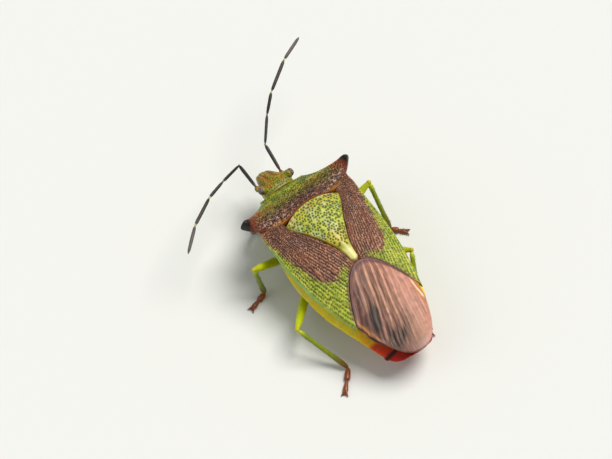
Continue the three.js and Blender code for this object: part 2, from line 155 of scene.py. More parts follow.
# %% Height of the back
MIDLINE_Z = {
    -3.2: -1.35, -2.4: -0.8, -1.6: -0.3, -0.9: 0, 0: 0.04,
    2: -0.12, 4.35: -0.55, 7: -1.3, 9.5: -2.02, 11.1: -2.5,
}
MARGIN_Z = {
    -3.2: -1.6, -2.4: -1.2, -1.9: -0.55, -1.6: -0.1, -1.2: -0.25, -0.45: -0.6,
    0.5: -0.84, 2: -1.2, 4: -1.52, 6: -1.76, 7.4: -1.85, 9.4: -2.25, 11.1: -2.55,
}
MARGIN_X = {
    -3.2: 1.45, -2.75: 1.75, -2.2: 2.65, -1.85: 3.5, -1.6: 4.15, -1.2: 3.95, -0.45: 3.5,
    0.5: 3.46, 2: 3.48, 4: 3.32, 6: 2.88, 7.4: 2.42, 9.4: 1.85, 11.1: 0.9,
}


def back_height(x, y):
    reach = np.abs(x) / along(MARGIN_X, y)
    return blend(along(MIDLINE_Z, y), along(MARGIN_Z, y), reach**2.2)


print("height at the scutellum's tip, mm:", back_height(0.0, SCUTELLUM_TIP).round(2))

# %% [markdown]
# ## Colours and attributes
# Insect colours run into each other, so each vertex gets its own mix of a few named
# pigments, and each small pit is marked too. The materials read both by name. That keeps
# pattern and shape in step, which a texture laid over the finished mesh would not.

# %% Pigments, in the usual web notation
def pigment(web):
    value = np.array([int(web[i : i + 2], 16) for i in (0, 2, 4)]) / 255
    return np.where(value <= 0.04045, value / 12.92, ((value + 0.055) / 1.055) ** 2.4)


def pigments(*webs):
    return [pigment(web) for web in webs]


MOSS, LIME, STRAW, OCHRE = pigments("8a951a", "b4bf3c", "d8cf80", "b9801a")
RUST, CHESTNUT, MAUVE, PITCH = pigments("8c3c12", "6b4028", "b07f66", "120e0c")
print("moss green in linear light:", MOSS.round(3))

# %% Lay one pigment over another
def coat_of(base, *layers):
    shade = np.ones((np.size(layers[0][1]), 3)) * base
    for colour, mask in layers:
        mask = np.clip(np.ravel(mask), 0, 1)[:, None]
        shade = shade * (1 - mask) + colour * mask
    return shade


print("moss green turning to rust:", coat_of(MOSS, (RUST, [0.0, 0.5, 1.0])).round(2).tolist())

# %% [markdown]
# ## From grids to pieces
# Blender wants metres in the part's own frame; the arithmetic is in millimetres about
# the back. One function turns points and faces into a smooth, coloured piece and hangs
# it on the part's one body, so that none can be left in the wrong units or without a
# body.

# %% Make a piece from points and faces
def make_piece(name, points, faces, material, nodes, shade, pit=None):
    mesh = bpy.data.meshes.new(name)
    mesh.from_pydata(((np.asarray(points) + back_centre) * MM).tolist(), [], faces)
    mesh.validate()
    mesh.polygons.foreach_set("use_smooth", np.ones(len(mesh.polygons), bool))
    rgba = np.ones((len(points), 4), np.float32)
    rgba[:, :3] = shade
    colour = mesh.attributes.new("shade", "FLOAT_COLOR", "POINT")
    colour.data.foreach_set("color", rgba.ravel())
    depth = np.zeros(len(points)) if pit is None else pit
    hollow = mesh.attributes.new("pit", "FLOAT", "POINT")
    hollow.data.foreach_set("value", depth.astype(np.float32))
    mesh.materials.append(material)
    piece = bpy.data.objects.new(name, mesh)
    bpy.context.scene.collection.objects.link(piece)
    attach(piece, "root")
    if nodes:
        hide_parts(*nodes)
    print(f"{name}: {len(points)} points, {len(faces)} faces")


print("one millimetre is", MM, "of Blender's units")

# %% Faces of a closed double sheet, upper and lower grids joined at one rim
def quads(near, far, flip):
    a, b, c, d = near[:-1], far[:-1], far[1:], near[1:]
    return np.stack([a, d, c, b] if flip else [a, b, c, d], -1).reshape(-1, 4).tolist()


def sheet_faces(rows, columns):
    upper = np.arange(rows * columns).reshape(rows, columns)
    lower = upper.copy()
    inner = upper[1:-1, 1:-1]
    lower[1:-1, 1:-1] = rows * columns + np.arange(inner.size).reshape(inner.shape)
    sheets = ((upper, False), (lower, True))
    return sum((quads(grid[:, :-1], grid[:, 1:], flip) for grid, flip in sheets), [])


print("faces of a 3 by 3 double sheet:", len(sheet_faces(3, 3)))

# %% Faces of stacked rings, closed by a point at each end
def ring_faces(rings, around, flip=False):
    grid = np.arange(rings * around).reshape(rings, around)
    turned = np.roll(grid, -1, axis=1)
    near, far = (turned, grid) if flip else (grid, turned)
    first, last = np.full(around, grid.size), np.full(around, grid.size + 1)
    caps = np.stack([first, far[0], near[0], last, near[-1], far[-1]], -1)
    return quads(grid, turned, flip) + caps.reshape(-1, 3).tolist()


print("faces of three rings of five:", len(ring_faces(3, 5)))

# %% [markdown]
# ## Pits
# The plates are peppered with dark pits a tenth or two of a millimetre across. Bump
# mapping could fake them, but raking light picks them out, so they are real hollows. A
# grid of dots, each nudged at random, gives the even but unruled spacing of the real
# ones, and a search for the nearest dot tells each vertex how deep it lies.

# %% Scatter the pits
chance = np.random.default_rng(16)
ROW_STEP, NUDGE = 0.86, 0.17


def pit_dots(box, spacing, keep):
    (x0, y0), (x1, y1) = box
    xs, ys = np.arange(x0, x1, spacing), np.arange(y0, y1, spacing * ROW_STEP)
    rows = []
    for i, y in enumerate(ys):
        shifted = xs + (i % 2) * spacing / 2
        rows.append(np.stack([shifted, np.full(len(xs), y)], -1))
    dots = np.concatenate(rows)
    dots += chance.normal(0, spacing * NUDGE, dots.shape)
    return dots[chance.random(len(dots)) < keep(dots[:, 0], dots[:, 1])]


test_dots = pit_dots(((0, 0), (1, 1)), 0.2, lambda x, y: 1 + 0 * x)
print("dots on a square millimetre:", len(test_dots))

# %% Sink them
def search_tree(places):
    tree = kdtree.KDTree(len(places))
    for i, place in enumerate(places):
        tree.insert((*place, 0)[:3], i)
    tree.balance()
    return tree


def pit_depth(dots, x, y, radius):
    tree = search_tree(dots)
    size = chance.uniform(0.7, 1.2, len(dots)) * radius
    found = [tree.find((px, py, 0)) for px, py in zip(x.ravel(), y.ravel())]
    away = np.array([hit[2] for hit in found])
    own = size[[hit[1] for hit in found]]
    return np.clip(1 - (away / own) ** 2, 0, 1).reshape(x.shape) ** 1.2


print("nearest of three places:", search_tree([(0, 0), (1, 0), (2, 0)]).find((1.2, 0, 0))[1])

# %% [markdown]
# ## The double sheet of a plate
# A plate is a thin shell with a rounded rim, and a flat sheet with a Solidify modifier
# would have square edges. It is made as two grids that share their border and curve
# together over the last tenth of a millimetre, so light rolls off the rim. Grid lines
# crowd towards the rim, where the curve is tight.

# %% Build the points of one plate
PLATE = 0.55
RIM = 0.26
RIM_LINES = np.array([0, 0.0006, 0.0025, 0.006, 0.011])


def crowded(count):
    return np.concatenate([RIM_LINES, np.linspace(0.018, 0.982, count - 10), 1 - RIM_LINES[::-1]])


def given(value, *places):
    return value(*places) if callable(value) else value


def plate_points(place, thickness, relief, columns, rows, roll=0.1):
    u, v = np.meshgrid(crowded(columns), crowded(rows))
    x, y = place(u, v)
    here = np.stack([x, y], -1)
    rims = here[:, :1], here[:, -1:], here[:1], here[-1:]
    inset = np.min([np.linalg.norm(here - rim, axis=-1) for rim in rims], axis=0)
    curl = np.sqrt(1 - (1 - np.clip(inset / given(roll, u, v), 0, 1)) ** 2)
    thick = given(thickness, u, v)
    middle = back_height(x, y) - thick / 2
    upper = middle + thick / 2 * curl + relief(u, v, x, y) * curl
    lower = middle - thick / 2 * curl
    return dict(grid=(u, v, x, y), upper=upper, lower=lower, inset=inset, curl=curl)


print("grid lines from rim to rim:", crowded(12).round(3).tolist())

# %% Turn the points of a plate into a piece
def plate_piece(name, plate, material, node, shade, pit):
    *_, x, y = plate["grid"]
    rows, columns = x.shape
    inner = (slice(1, -1), slice(1, -1))
    top = np.stack([x, y, plate["upper"]], -1)
    bottom = np.stack([x, y, plate["lower"]], -1)[inner]
    points = np.concatenate([top.reshape(-1, 3), bottom.reshape(-1, 3)])
    under_shade = shade.reshape(rows, columns, 3)[inner].reshape(-1, 3)
    pits = np.concatenate([pit.ravel(), np.zeros(len(under_shade))])
    shades = np.concatenate([shade, under_shade])
    make_piece(name, points, sheet_faces(rows, columns), material, [node], shades, pits)


print("a plate is", PLATE, "mm thick and", RIM, "mm at its rim")

# %% [markdown]
# ## The finish of the horny shell
# The shell is a hard, slightly waxy skin: coloured inside, glossy outside. One plain
# gloss would look like plastic, so a coat lies over a rougher base. The pigment comes
# from the vertices, fine noise breaks it up, pits go dark, and bump only carries grain
# too small to model.

# %% Add a node, and set or link its sockets
CLOUD_SCALE, GRAIN_SCALE = 2600, 14000
GRAIN_HEIGHT = 0.00001


def fill_sockets(tree, node, sockets):
    for name, value in sockets.items():
        if isinstance(value, bpy.types.NodeSocket):
            tree.links.new(value, node.inputs[name])
        else:
            node.inputs[name].default_value = value


def add_node(tree, kind, output, sockets, **settings):
    node = tree.nodes.new("ShaderNode" + kind)
    for name, value in settings.items():
        setattr(node, name, value)
    fill_sockets(tree, node, sockets)
    return node.outputs[output]


print("noise in the shell, per metre:", CLOUD_SCALE, "and", GRAIN_SCALE)

# %% Colour with dark pits, uneven gloss, fine grain and a clear coat
def shell_finish(name, roughness, coat, grain=0.4, mottle=0.16, pit_strength=0.85, shine=0.35):
    material = bpy.data.materials.new(name)
    material.use_nodes = True
    tree = material.node_tree
    add = partial(add_node, tree)
    place = add("TexCoord", "Object", {})
    pattern = add("Attribute", "Color", {}, attribute_name="shade")
    hollow = add("Attribute", "Fac", {}, attribute_name="pit")
    cloud = add("TexNoise", "Fac", {"Vector": place, "Scale": CLOUD_SCALE, "Detail": 4})
    fine = add("TexNoise", "Fac", {"Vector": place, "Scale": GRAIN_SCALE, "Detail": 3})
    spread = {"From Min": 0.3, "From Max": 0.7, "To Min": 1 - mottle, "To Max": 1 + mottle}
    level = add("MapRange", "Result", {"Value": cloud, **spread})
    varied = add("VectorMath", "Vector", {0: pattern, "Scale": level}, operation="SCALE")
    darken = add("Math", "Value", {0: hollow, 1: pit_strength}, operation="MULTIPLY")
    sockets = {"Factor": darken, "A": varied, "B": (*PITCH, 1)}
    span = {"To Min": roughness - 0.08, "To Max": roughness + 0.12}
    relief = {"Height": fine, "Strength": grain, "Distance": GRAIN_HEIGHT}
    fill_sockets(tree, tree.nodes["Principled BSDF"], {
        "Base Color": add("Mix", "Result", sockets, data_type="RGBA"),
        "Roughness": add("MapRange", "Result", {"Value": cloud, **span}),
        "Normal": add("Bump", "Normal", relief),
        "Coat Weight": coat,
        "Coat Roughness": 0.15,
        "Specular IOR Level": shine,
    })
    print("finish", name, len(tree.nodes), "nodes")
    return material


shield_shell = shell_finish("shield_shell", 0.42, 0.1, pit_strength=0.97, shine=0.28)

# %% [markdown]
# ## The shield
# The pronotum is the saddle behind the head: moss green and sloping in front, wrinkled
# and chestnut behind, and drawn out on each side into a dark red point with a black,
# rounded tip. Sculpted by hand it would hardly lie flush with its neighbours. It is one
# grid bent over the back, with two smooth scars, a raised rear rim, and pits that run
# together behind.

# %% The outline of the shield
PRONOTUM_FRONT, PRONOTUM_REAR = -2.8, -0.45
PRONOTUM_EDGE = {0: -2.98, 0.25: -2.5, 0.45: -2.08, 0.6: -1.7, 0.75: -1.35, 1: -0.72}
PRONOTUM_X = {
    -2.98: 1.6, -2.6: 1.95, -2.35: 2.5, -2.15: 3.05, -1.95: 3.62, -1.78: 3.98,
    -1.6: 4.15, -1.38: 3.98, -1.1: 3.68, -0.72: 3.3,
}


def pronotum_place(u, v):
    across = 2 * u - 1
    edge_y = along(PRONOTUM_EDGE, v)
    spread = np.abs(across)
    lobe = 0.34 * v * v * np.sin(np.pi * np.minimum(1, spread / 1.15)) ** 2
    y = blend(blend(PRONOTUM_FRONT, PRONOTUM_REAR, v), edge_y, spread**2.4) + lobe
    return across * along(PRONOTUM_X, edge_y), y


print("rear rim of the shield at, mm:", pronotum_place(0.5, 1)[1])

# %% Thickness and rolled edge of the shield
KNOB_X, KNOB_Y = 4.02, -1.6


def from_knob(x, y):
    return np.hypot(np.abs(x) - KNOB_X, y - KNOB_Y)


def pronotum_thickness(u, v):
    edge = RIM + 0.26 * bump(v, 0.6, 0.2)
    return blend(PLATE, edge, np.abs(2 * u - 1) ** 3)


def pronotum_roll(u, v):
    return 0.1 + 0.25 * bump(from_knob(*pronotum_place(u, v)), 0, 0.5)


print("thickness at the shoulder, mm:", pronotum_thickness(1, 0.6))

# %% Shape the shield
def pronotum_relief(u, v, x, y):
    spread = np.abs(2 * u - 1)
    scars = 0.05 * bump(v, 0.2, 0.09) * bump(spread, 0.33, 0.2)
    rear_rim = 0.035 * bump(v, 0.985, 0.022) * (spread < 0.9)
    waist = -0.03 * bump(v, 0.93, 0.03) * (spread < 0.85)
    front_rim = 0.03 * bump(v, 0.012, 0.02)
    shoulder = 0.1 * bump(spread, 0.88, 0.12) * bump(v, 0.62, 0.2)
    knob = 0.24 * bump(from_knob(x, y), 0.1, 0.42)
    return scars + rear_rim + waist + front_rim + (shoulder + knob)


shield = plate_points(
    pronotum_place, pronotum_thickness, pronotum_relief, columns=376, rows=132, roll=pronotum_roll
)
u, v, x, y = shield["grid"]
print("shield spans", np.ptp(x).round(2), "mm")

# %% Smooth noise for blotches and wrinkles
def smooth_noise(x, y, size, seed):
    places = zip((x / size).ravel(), (y / size).ravel())
    return np.array([noise.noise(Vector((*place, seed))) for place in places]).reshape(x.shape)


spread = np.abs(2 * u - 1)
knob = from_knob(x, y)
wobble = smooth_noise(x, y, 0.5, 1.7)
print("wobble from", wobble.min().round(2), "to", wobble.max().round(2))

# %% Pit and wrinkle the shield
dots = pit_dots(((-4.2, -3.1), (4.2, 0)), 0.145, lambda px, py: 0.95 + 0 * px)
smooth_scars = bump(v, 0.2, 0.07) * bump(spread, 0.33, 0.16)
pits = pit_depth(dots, x, y, 0.076) * (1 - 0.8 * smooth_scars) * ease(shield["inset"], 0.05, 0.14)
pits *= ease(knob, 0.45, 0.8)
behind = ease(v + 0.06 * wobble, 0.42, 0.62)
wrinkle = smooth_noise(x * 0.32, y, 0.08, 4.2) + 0.5 * smooth_noise(x * 0.7, y, 0.07, 8.1)
wrinkle *= behind * ease(knob, 0.5, 0.8) * fade_out(v, 0.95, 0.985)
shield["upper"] += shield["curl"] * (0.035 * wrinkle - 0.042 * pits)
print("pits in the shield:", len(dots))

# %% Colour the shield
OLIVE, FRESH_GREEN, OLD_GOLD, AMBER = pigments("6c7610", "98a220", "9c9010", "b5741a")
BRONZE, MUSTARD, SKY_GLINT_MAUVE, UMBER = pigments("5e4c12", "9a8a2c", "c8a698", "24150c")
RIM_ORANGE, BRICK, WINE = pigments("b4601a", "a4420c", "6a150a")
crest = ease(wrinkle, 0.0, 0.35)
mauve = 0.9 * behind * ease(wrinkle, -0.02, 0.35) * ease(v + 0.2 * spread, 0.65, 0.95)
shield_shade = coat_of(
    OLIVE,
    (FRESH_GREEN, 0.8 * ease(wobble, -0.25, 0.2) * fade_out(v, 0.4, 0.6)),
    (OLD_GOLD, 0.8 * bump(v, 0.42, 0.14) * ease(wobble, -0.3, 0.2)),
    (AMBER, 0.6 * bump(v, 0.5, 0.07) * ease(-wobble, -0.1, 0.3)),
    (BRONZE, 0.9 * bump(v, 0.66, 0.15) * fade_out(spread, 0.75, 0.88)),
    (CHESTNUT, ease(v + 0.07 * wobble - 0.1 * spread, 0.58, 0.78)),
    (MAUVE, mauve * (0.5 + 0.5 * ease(spread, 0.15, 0.5))),
    (MUSTARD, 0.6 * behind * crest * fade_out(v, 0.6, 0.8)),
    # painted highlight: pale mauve glints on the wrinkle crests of the rear side slopes, in place
    # of the sky's reflection
    (SKY_GLINT_MAUVE, 0.65 * behind * crest * bump(spread, 0.68, 0.2) * bump(v, 0.84, 0.14)),
    (UMBER, 0.8 * behind * ease(-wrinkle, 0.05, 0.4)),
    (RUST, 0.85 * bump(v, 0.985, 0.025)),
    (OCHRE, 0.9 * ease(v, 0.88, 0.94) * bump(spread, 0.68, 0.14)),
    (RIM_ORANGE, 0.8 * bump(v, 0.022, 0.022) * fade_out(spread, 0.86, 0.96)),
    (BRICK, 0.9 * fade_out(knob + 0.3 * wobble, 0.8, 1.7) * (1 - 0.55 * behind)),
    (WINE, 0.85 * fade_out(knob + 0.15 * wobble, 0.55, 1.15)),
    (PITCH, fade_out(knob + 0.08 * wobble, 0.4, 0.6)),
)
plate_piece("shield_plate", shield, shield_shell, "pronotum", shield_shade, pits)

# %% [markdown]
# ## The scutellum
# The triangle between the wing cases is the brightest plate: yellow-green, dotted with
# black, and drawn out into a smooth, straw-coloured tip. It could share the shield's
# scatter, but its dots are larger and stop short of the tip, so it gets its own, thinned
# by distance along the plate.

# %% Shape the scutellum
SEAM = 0.12
SCUTELLUM_X = {-0.4: 2.1, 0.2: 2.02, 1.6: 1.24, 2.1: 0.97, 3.1: 0.5, 3.6: 0.36, 4.1: 0.3}


def scutellum_place(u, v):
    across = 2 * u - 1
    front = PRONOTUM_REAR + 0.02 + 0.52 * across * across
    rear = SCUTELLUM_TIP - 0.2 * across * across
    y = blend(front, rear, v)
    return across * (along(SCUTELLUM_X, y) - 0.02), y


def scutellum_relief(u, v, x, y):
    across = 2 * u - 1
    dome = 0.14 * (1 - across**2) * (1 - v * 0.5)
    side_rim = 0.02 * bump(np.abs(across), 0.95, 0.05) * ease(v, 0.1, 0.3)
    return dome + side_rim - 0.03 * bump(v, 0.06, 0.05)


scutellum = plate_points(scutellum_place, PLATE, scutellum_relief, columns=150, rows=170)
u, v, x, y = scutellum["grid"]
print("scutellum is", np.ptp(y).round(2), "mm long")

# %% Pit the scutellum
def scutellum_scatter(px, py):
    smooth_tip = ease(py + 0.3 * np.abs(px), 2.9, 3.7)
    return 0.95 - 0.95 * smooth_tip - 0.3 * bump(px, 0, 0.12)


spread = np.abs(2 * u - 1)
dots = pit_dots(((-2.2, -0.5), (2.2, 4.4)), 0.19, scutellum_scatter)
pits = pit_depth(dots, x, y, 0.092) * ease(scutellum["inset"], 0.04, 0.12)
scutellum["upper"] -= 0.045 * pits * scutellum["curl"]
print("pits in the scutellum:", len(dots))

# %% Colour the scutellum
PALE_LIME, YELLOW_GREEN = pigments("c3cb7c", "b8b020")
patch = smooth_noise(x, y, 0.6, 9.1)
fine_patch = smooth_noise(x, y, 0.35, 2.9)
ochre_band = 0.3 * ease(v, 0.45, 0.65) * fade_out(v, 0.7, 0.85)
scutellum_shade = coat_of(
    MOSS,
    (LIME, 0.8 * ease(patch, -0.3, 0.35)),
    (PALE_LIME, 0.7 * ease(-patch, 0.0, 0.35) * fade_out(v, 0.6, 0.8)),
    (YELLOW_GREEN, 0.5 * ease(fine_patch, 0.05, 0.4)),
    (STRAW, 0.5 * bump(spread, 0.0, 0.14) * ease(v, 0.35, 0.7)),
    (OCHRE, 0.25 * bump(v, 0.05, 0.08) + ochre_band),
    (RUST, 0.75 * bump(spread, 0.99, 0.035) * ease(v, 0.08, 0.3) * fade_out(v, 0.75, 0.9)),
    (STRAW, 0.95 * ease(v, 0.76, 0.88)),
)
scutellum_shell = shell_finish("scutellum_shell", 0.38, 0.15, pit_strength=1.0)
plate_piece(
    "scutellum_plate", scutellum, scutellum_shell, "scutellum",
    scutellum_shade, pits,
)

# %% [markdown]
# ## The wing cases
# The front half of each fore wing is leather: chestnut with rows of pits and thin veins
# inside, moss green outside, minty at the very rim. A slanting line, the claval suture,
# runs beside the scutellum. A square scatter would cut across the rows, so the pits are
# laid along lines of the plate, which follow the wing.

# %% The outline of a wing case
MEMBRANE_HALF = 2.4
SUTURE_FRONT, SUTURE_SWEEP = 4.45, 2.9
CASE_FRONT_INNER, CASE_FRONT_OUTER = -0.35, -0.98


def suture_y(x):
    return SUTURE_FRONT + SUTURE_SWEEP * (x / MEMBRANE_HALF) ** 2


def case_edges(u, down):
    inner_y = blend(CASE_FRONT_INNER, SUTURE_FRONT - SEAM, down)
    outer_y = blend(CASE_FRONT_OUTER, suture_y(MEMBRANE_HALF) - SEAM * 2, down)
    inner = along(SCUTELLUM_X, inner_y) - 0.12 - 0.06 * down**6
    outer = np.minimum(along(MARGIN_X, outer_y), 3.42 + 0.18 * (outer_y + 0.5))
    return blend(inner, outer, u), blend(inner_y, outer_y, u)


def case_place(side, u, v):
    x, y = case_edges(u, v)
    rear_x, rear_y = case_edges(u, 1)
    slope = 2 * SUTURE_SWEEP * rear_x / MEMBRANE_HALF**2
    return side * x, y + v**2 * (suture_y(rear_x) + 0.04 - 0.02 * np.hypot(1, slope) - rear_y)


print("the suture meets the margin at, mm:", suture_y(MEMBRANE_HALF))

# %% The suture, the veins and the relief of a wing case
def case_lines(v):
    clavus = 0.26 * (1 - v) + 0.02
    vein = 0.55 - 0.1 * v
    fork = 0.55 + 0.22 * ease(v, 0.35, 0.9)
    return clavus, vein, fork, ease(v, 0.33, 0.38)


def case_relief(u, v, x, y):
    clavus, vein, fork, forked = case_lines(v)
    keel = 0.07 * bump(u, 0.62, 0.1) * (1 - v)
    suture = -0.035 * bump(u, clavus, 0.012) * fade_out(v, 0.93, 1)
    veins = 0.04 * bump(u, vein, 0.012) + 0.04 * bump(u, fork, 0.012) * forked
    margin = 0.03 * bump(u, 0.975, 0.02)
    under_shield = 0.42 * fade_out(y + 0.12 * np.abs(x), -0.5, -0.1)
    tuck = -0.22 * fade_out(u, 0.0, 0.085) - under_shield
    return keel + suture + veins + margin + tuck


def case_thickness(u, v):
    return blend(PLATE, RIM, u**4)


print("halfway down, suture and veins lie at", np.round(case_lines(0.5)[:3], 3))

# %% Lay the pits of a wing case in rows
LANES = 19


def row_dots(side):
    rows = []
    for row in range(LANES):
        lane = (row + 0.5) / LANES
        steps = np.cumsum(chance.uniform(0.014, 0.026, 75))
        steps = steps[steps < 0.99]
        lanes = lane + chance.normal(0, 0.0095, len(steps))
        rows.append(np.stack(case_place(side, lanes, steps), -1))
    return np.concatenate(rows)


def carve_case(side, case):
    u, v, x, y = case["grid"]
    clavus, vein, fork, forked = case_lines(v)
    on_vein = bump(u, clavus, 0.014) + bump(u, vein, 0.012) + bump(u, fork, 0.012) * forked
    calm = (1 - 0.8 * np.clip(on_vein, 0, 1)) * ease(case["inset"], 0.05, 0.13)
    pits = pit_depth(row_dots(side), x, y, 0.062) * calm
    ridge = 0.5 + 0.5 * np.cos(2 * np.pi * LANES * u + 1.2 * smooth_noise(x, y, 0.4, 5.5))
    weave = smooth_noise(x, y, 0.085, 2.6 + side)
    case["upper"] += case["curl"] * (0.02 * ridge * calm + 0.022 * weave * calm - 0.04 * pits)
    return on_vein, pits, ridge, weave


print("rows of pits on each wing case:", LANES)

# %% Where a wing case turns green
GREEN_BORDER = {
    -0.5: 3.5, 0.6: 3.32, 1.6: 3.1, 2.7: 2.85, 3.6: 2.6, 4.4: 2.15, 4.85: 1.3, 5.2: 0.6,
}


def green_part(x, y, patch, weave):
    reach = np.abs(x)
    outer = ease(reach - along(GREEN_BORDER, y) + 0.12 * patch + 0.1 * weave, -0.12, 0.2)
    corner = ease(y - 0.55 * reach - 3.55 + 0.3 * patch + 0.15 * weave, 0.0, 0.5)
    return np.maximum(outer, corner * ease(reach, 0.5, 1.2))


print("green at the margin:", green_part(3.4, 2.0, 0, 0))

# %% The colours of a wing case
SADDLE, GLINT_GREY_MAUVE, DARK_OLIVE, BUFF = pigments("a8622c", "bf9f96", "6c7a12", "d2c65a")
MINT, VEIN_SHADE, REAR_BROWN = pigments("8abc6c", "24130c", "6b4238")


def case_colours(side, case, on_vein, pits, ridge, weave):
    u, v, x, y = case["grid"]
    clavus, vein, fork, forked = case_lines(v)
    patch = smooth_noise(x, y, 0.5, 3.3 + side)
    green = green_part(x, y, patch, weave)
    lit = ease(ridge * 0.6 + 0.7 * weave - 0.9 * pits, 0.05, 0.6)
    by_veins = bump(u, vein + 0.022, 0.01) + bump(u, fork + 0.022, 0.01) * forked
    rear = 0.75 * ease(v + 0.01 * patch, 0.955, 0.98) * ease(u, 0.1, 0.3)
    rim = 0.75 * ease(u, 0.968, 0.985) * ease(y, 0.0, 0.8) * (1 - 0.75 * ease(y, 4.0, 6.0))
    return coat_of(
        CHESTNUT,
        (SADDLE, 0.3 * ease(patch, -0.2, 0.4)),
        (MAUVE, 0.95 * lit * (0.75 + 0.5 * patch + 0.25 * ease(y, 1.5, 4))),
        # painted highlight: grey-mauve glints on the lit ridges near the front inner corner of the
        # case
        (GLINT_GREY_MAUVE, 0.5 * lit * bump(y, 0.9, 0.9) * bump(u, 0.35, 0.25)),
        (MOSS, green),
        (DARK_OLIVE, 0.7 * green * ease(-patch - 0.3 * weave, -0.1, 0.35)),
        (LIME, 0.8 * green * lit),
        (BUFF, 0.5 * green * lit * ease(patch + 0.4 * weave, 0.0, 0.4)),
        (RUST, 0.65 * np.clip(on_vein, 0, 1) * (1 - green)),
        (VEIN_SHADE, 0.6 * by_veins * (1 - green)),
        (PITCH, 0.55 * bump(u, clavus - 0.012, 0.01) * fade_out(v, 0.9, 1)),
        (MINT, rim),
        (REAR_BROWN, rear * (1 - 0.7 * ease(u, 0.8, 1.0))),
    )


case_shell = shell_finish("wing_case_shell", 0.45, 0.1, pit_strength=0.88, shine=0.3)

# %% Make both wing cases
for side, hand in ((1, "left"), (-1, "right")):
    place = partial(case_place, side)
    case = plate_points(place, case_thickness, case_relief, columns=110, rows=240, roll=0.08)
    carving = carve_case(side, case)
    case_shade = case_colours(side, case, *carving)
    plate_piece(
        f"wing_case_{hand}_plate", case, case_shell, f"wing_case_{hand}",
        case_shade, carving[1],
    )

# %% [markdown]
# ## The clear wing ends
# Behind the wing cases each fore wing ends in a film. The right one lies over the left,
# salmon brown and a little smoky, with veins that spread like the ribs of a fan. They
# could be painted on, but the film sinks between them, which makes its sheen streaky, so
# they are ridges here.

# %% The outline of the film
WING_TIP = 10.74
TAIL_WIDTH = 0.91
TAIL_DROP, TAIL_CURVE = 2.46, 2.4


def film_place(u, v):
    across = 1 - 2 * u
    x = across * blend(MEMBRANE_HALF, MEMBRANE_HALF * TAIL_WIDTH, v)
    front = suture_y(across * MEMBRANE_HALF)
    return x, blend(front, WING_TIP - TAIL_DROP * np.abs(across) ** TAIL_CURVE, v)


def film_edge(y):
    rounded = np.clip((WING_TIP - y) / TAIL_DROP, 0, 1) ** (1 / TAIL_CURVE)
    return MEMBRANE_HALF * TAIL_WIDTH * rounded + 0.2 * np.clip((8.28 - y) / 0.93, 0, 1)


def film_thickness(u, v):
    return blend(0.3, 0.12, np.maximum(np.abs(1 - 2 * u) ** 4, v**4))


print("half width of the film at its middle, mm:", film_edge(8.0).round(2))

# %% The fan of veins
VEIN_SPACING = 0.34
VEIN_DRIFT = {4.5: -0.15, 5.2: 0, 6.4: 0.4, 7.5: 0.85, 8.7: 1.25, 10: 1.55}
SETTLING_STEPS = 14


def vein_root(x, y):
    root = 0.5 * x
    for _ in range(SETTLING_STEPS):
        lag = np.where(root < 0, root, 2.6 * root)
        drift = along(VEIN_DRIFT, y + lag) * (1 + 0.25 * root)
        root = np.clip(root + 0.4 * (x - root - drift), -3, 1.1)
    return root


def vein_wave(v, x, y):
    root = vein_root(x, y)
    fade = ease(v, 0.0, 0.12) * fade_out(v, 0.8, 0.97) * (1 - 0.75 * ease(-root, 0.5, 1.5))
    lane = root / VEIN_SPACING + 0.09 * np.sin(1.9 * y + 3 * root)
    pleat = np.cos(2 * np.pi * (2 * lane + 0.15 * np.sin(3.1 * y)))
    return root, np.cos(2 * np.pi * lane), pleat, fade


print("a vein at the film's middle starts at, mm:", vein_root(0.0, 8.0).round(2))

# %% Shape the film
def film_relief(u, v, x, y):
    root, wave, pleat, fade = vein_wave(v, x, y)
    vein = ease(wave, -0.1, 1.0) * fade
    sway = 0.03 * np.sin(5 * u + 4 * v) * np.sin(np.pi * v)
    return 0.08 * vein + 0.015 * pleat * fade - 0.03 * fade + sway + 0.06 * bump(v, 0.0, 0.05)


film = plate_points(film_place, film_thickness, film_relief, columns=228, rows=214, roll=0.05)
u, v, x, y = film["grid"]
root, wave, pleat, fade = vein_wave(v, x, y)
print("film is", np.ptp(y).round(2), "mm long")

# %% Where the film is streaked and smoky
SMOKE = [
    (1.3, 1.32, 0.42, 7.8, 0.8), (1.1, 0.45, 0.4, 9.45, 0.6),
    (0.9, -0.25, 0.35, 9.5, 0.6), (0.35, -0.7, 0.3, 8.8, 0.6),
]
patch = smooth_noise(root * 1.2, y * 0.5, 0.5, 12.4)
streak = smooth_noise(root * 4.0, y * 0.5, 0.3, 3.9)
fibre = smooth_noise(root * 2.0, y * 0.12, 0.08, 6.1)
cloudy = smooth_noise(x, y, 0.35, 15.2)
slant = 0.4 * (y - 7.8)
smoke = sum(
    amount * bump(x, smoke_x + slant, half_width) * bump(y, smoke_y, half_length)
    for amount, smoke_x, half_width, smoke_y, half_length in SMOKE
)
smoke = np.clip(smoke * (0.95 + 0.9 * streak + 0.4 * patch), 0, 1)
dusk = bump(x, 1.3 + 0.8 * (y - 6), 0.6) * bump(y, 6.2, 1.2)
rim_gap = film_edge(y) - np.abs(x)
print("smoky share of the film:", smoke.mean().round(2))

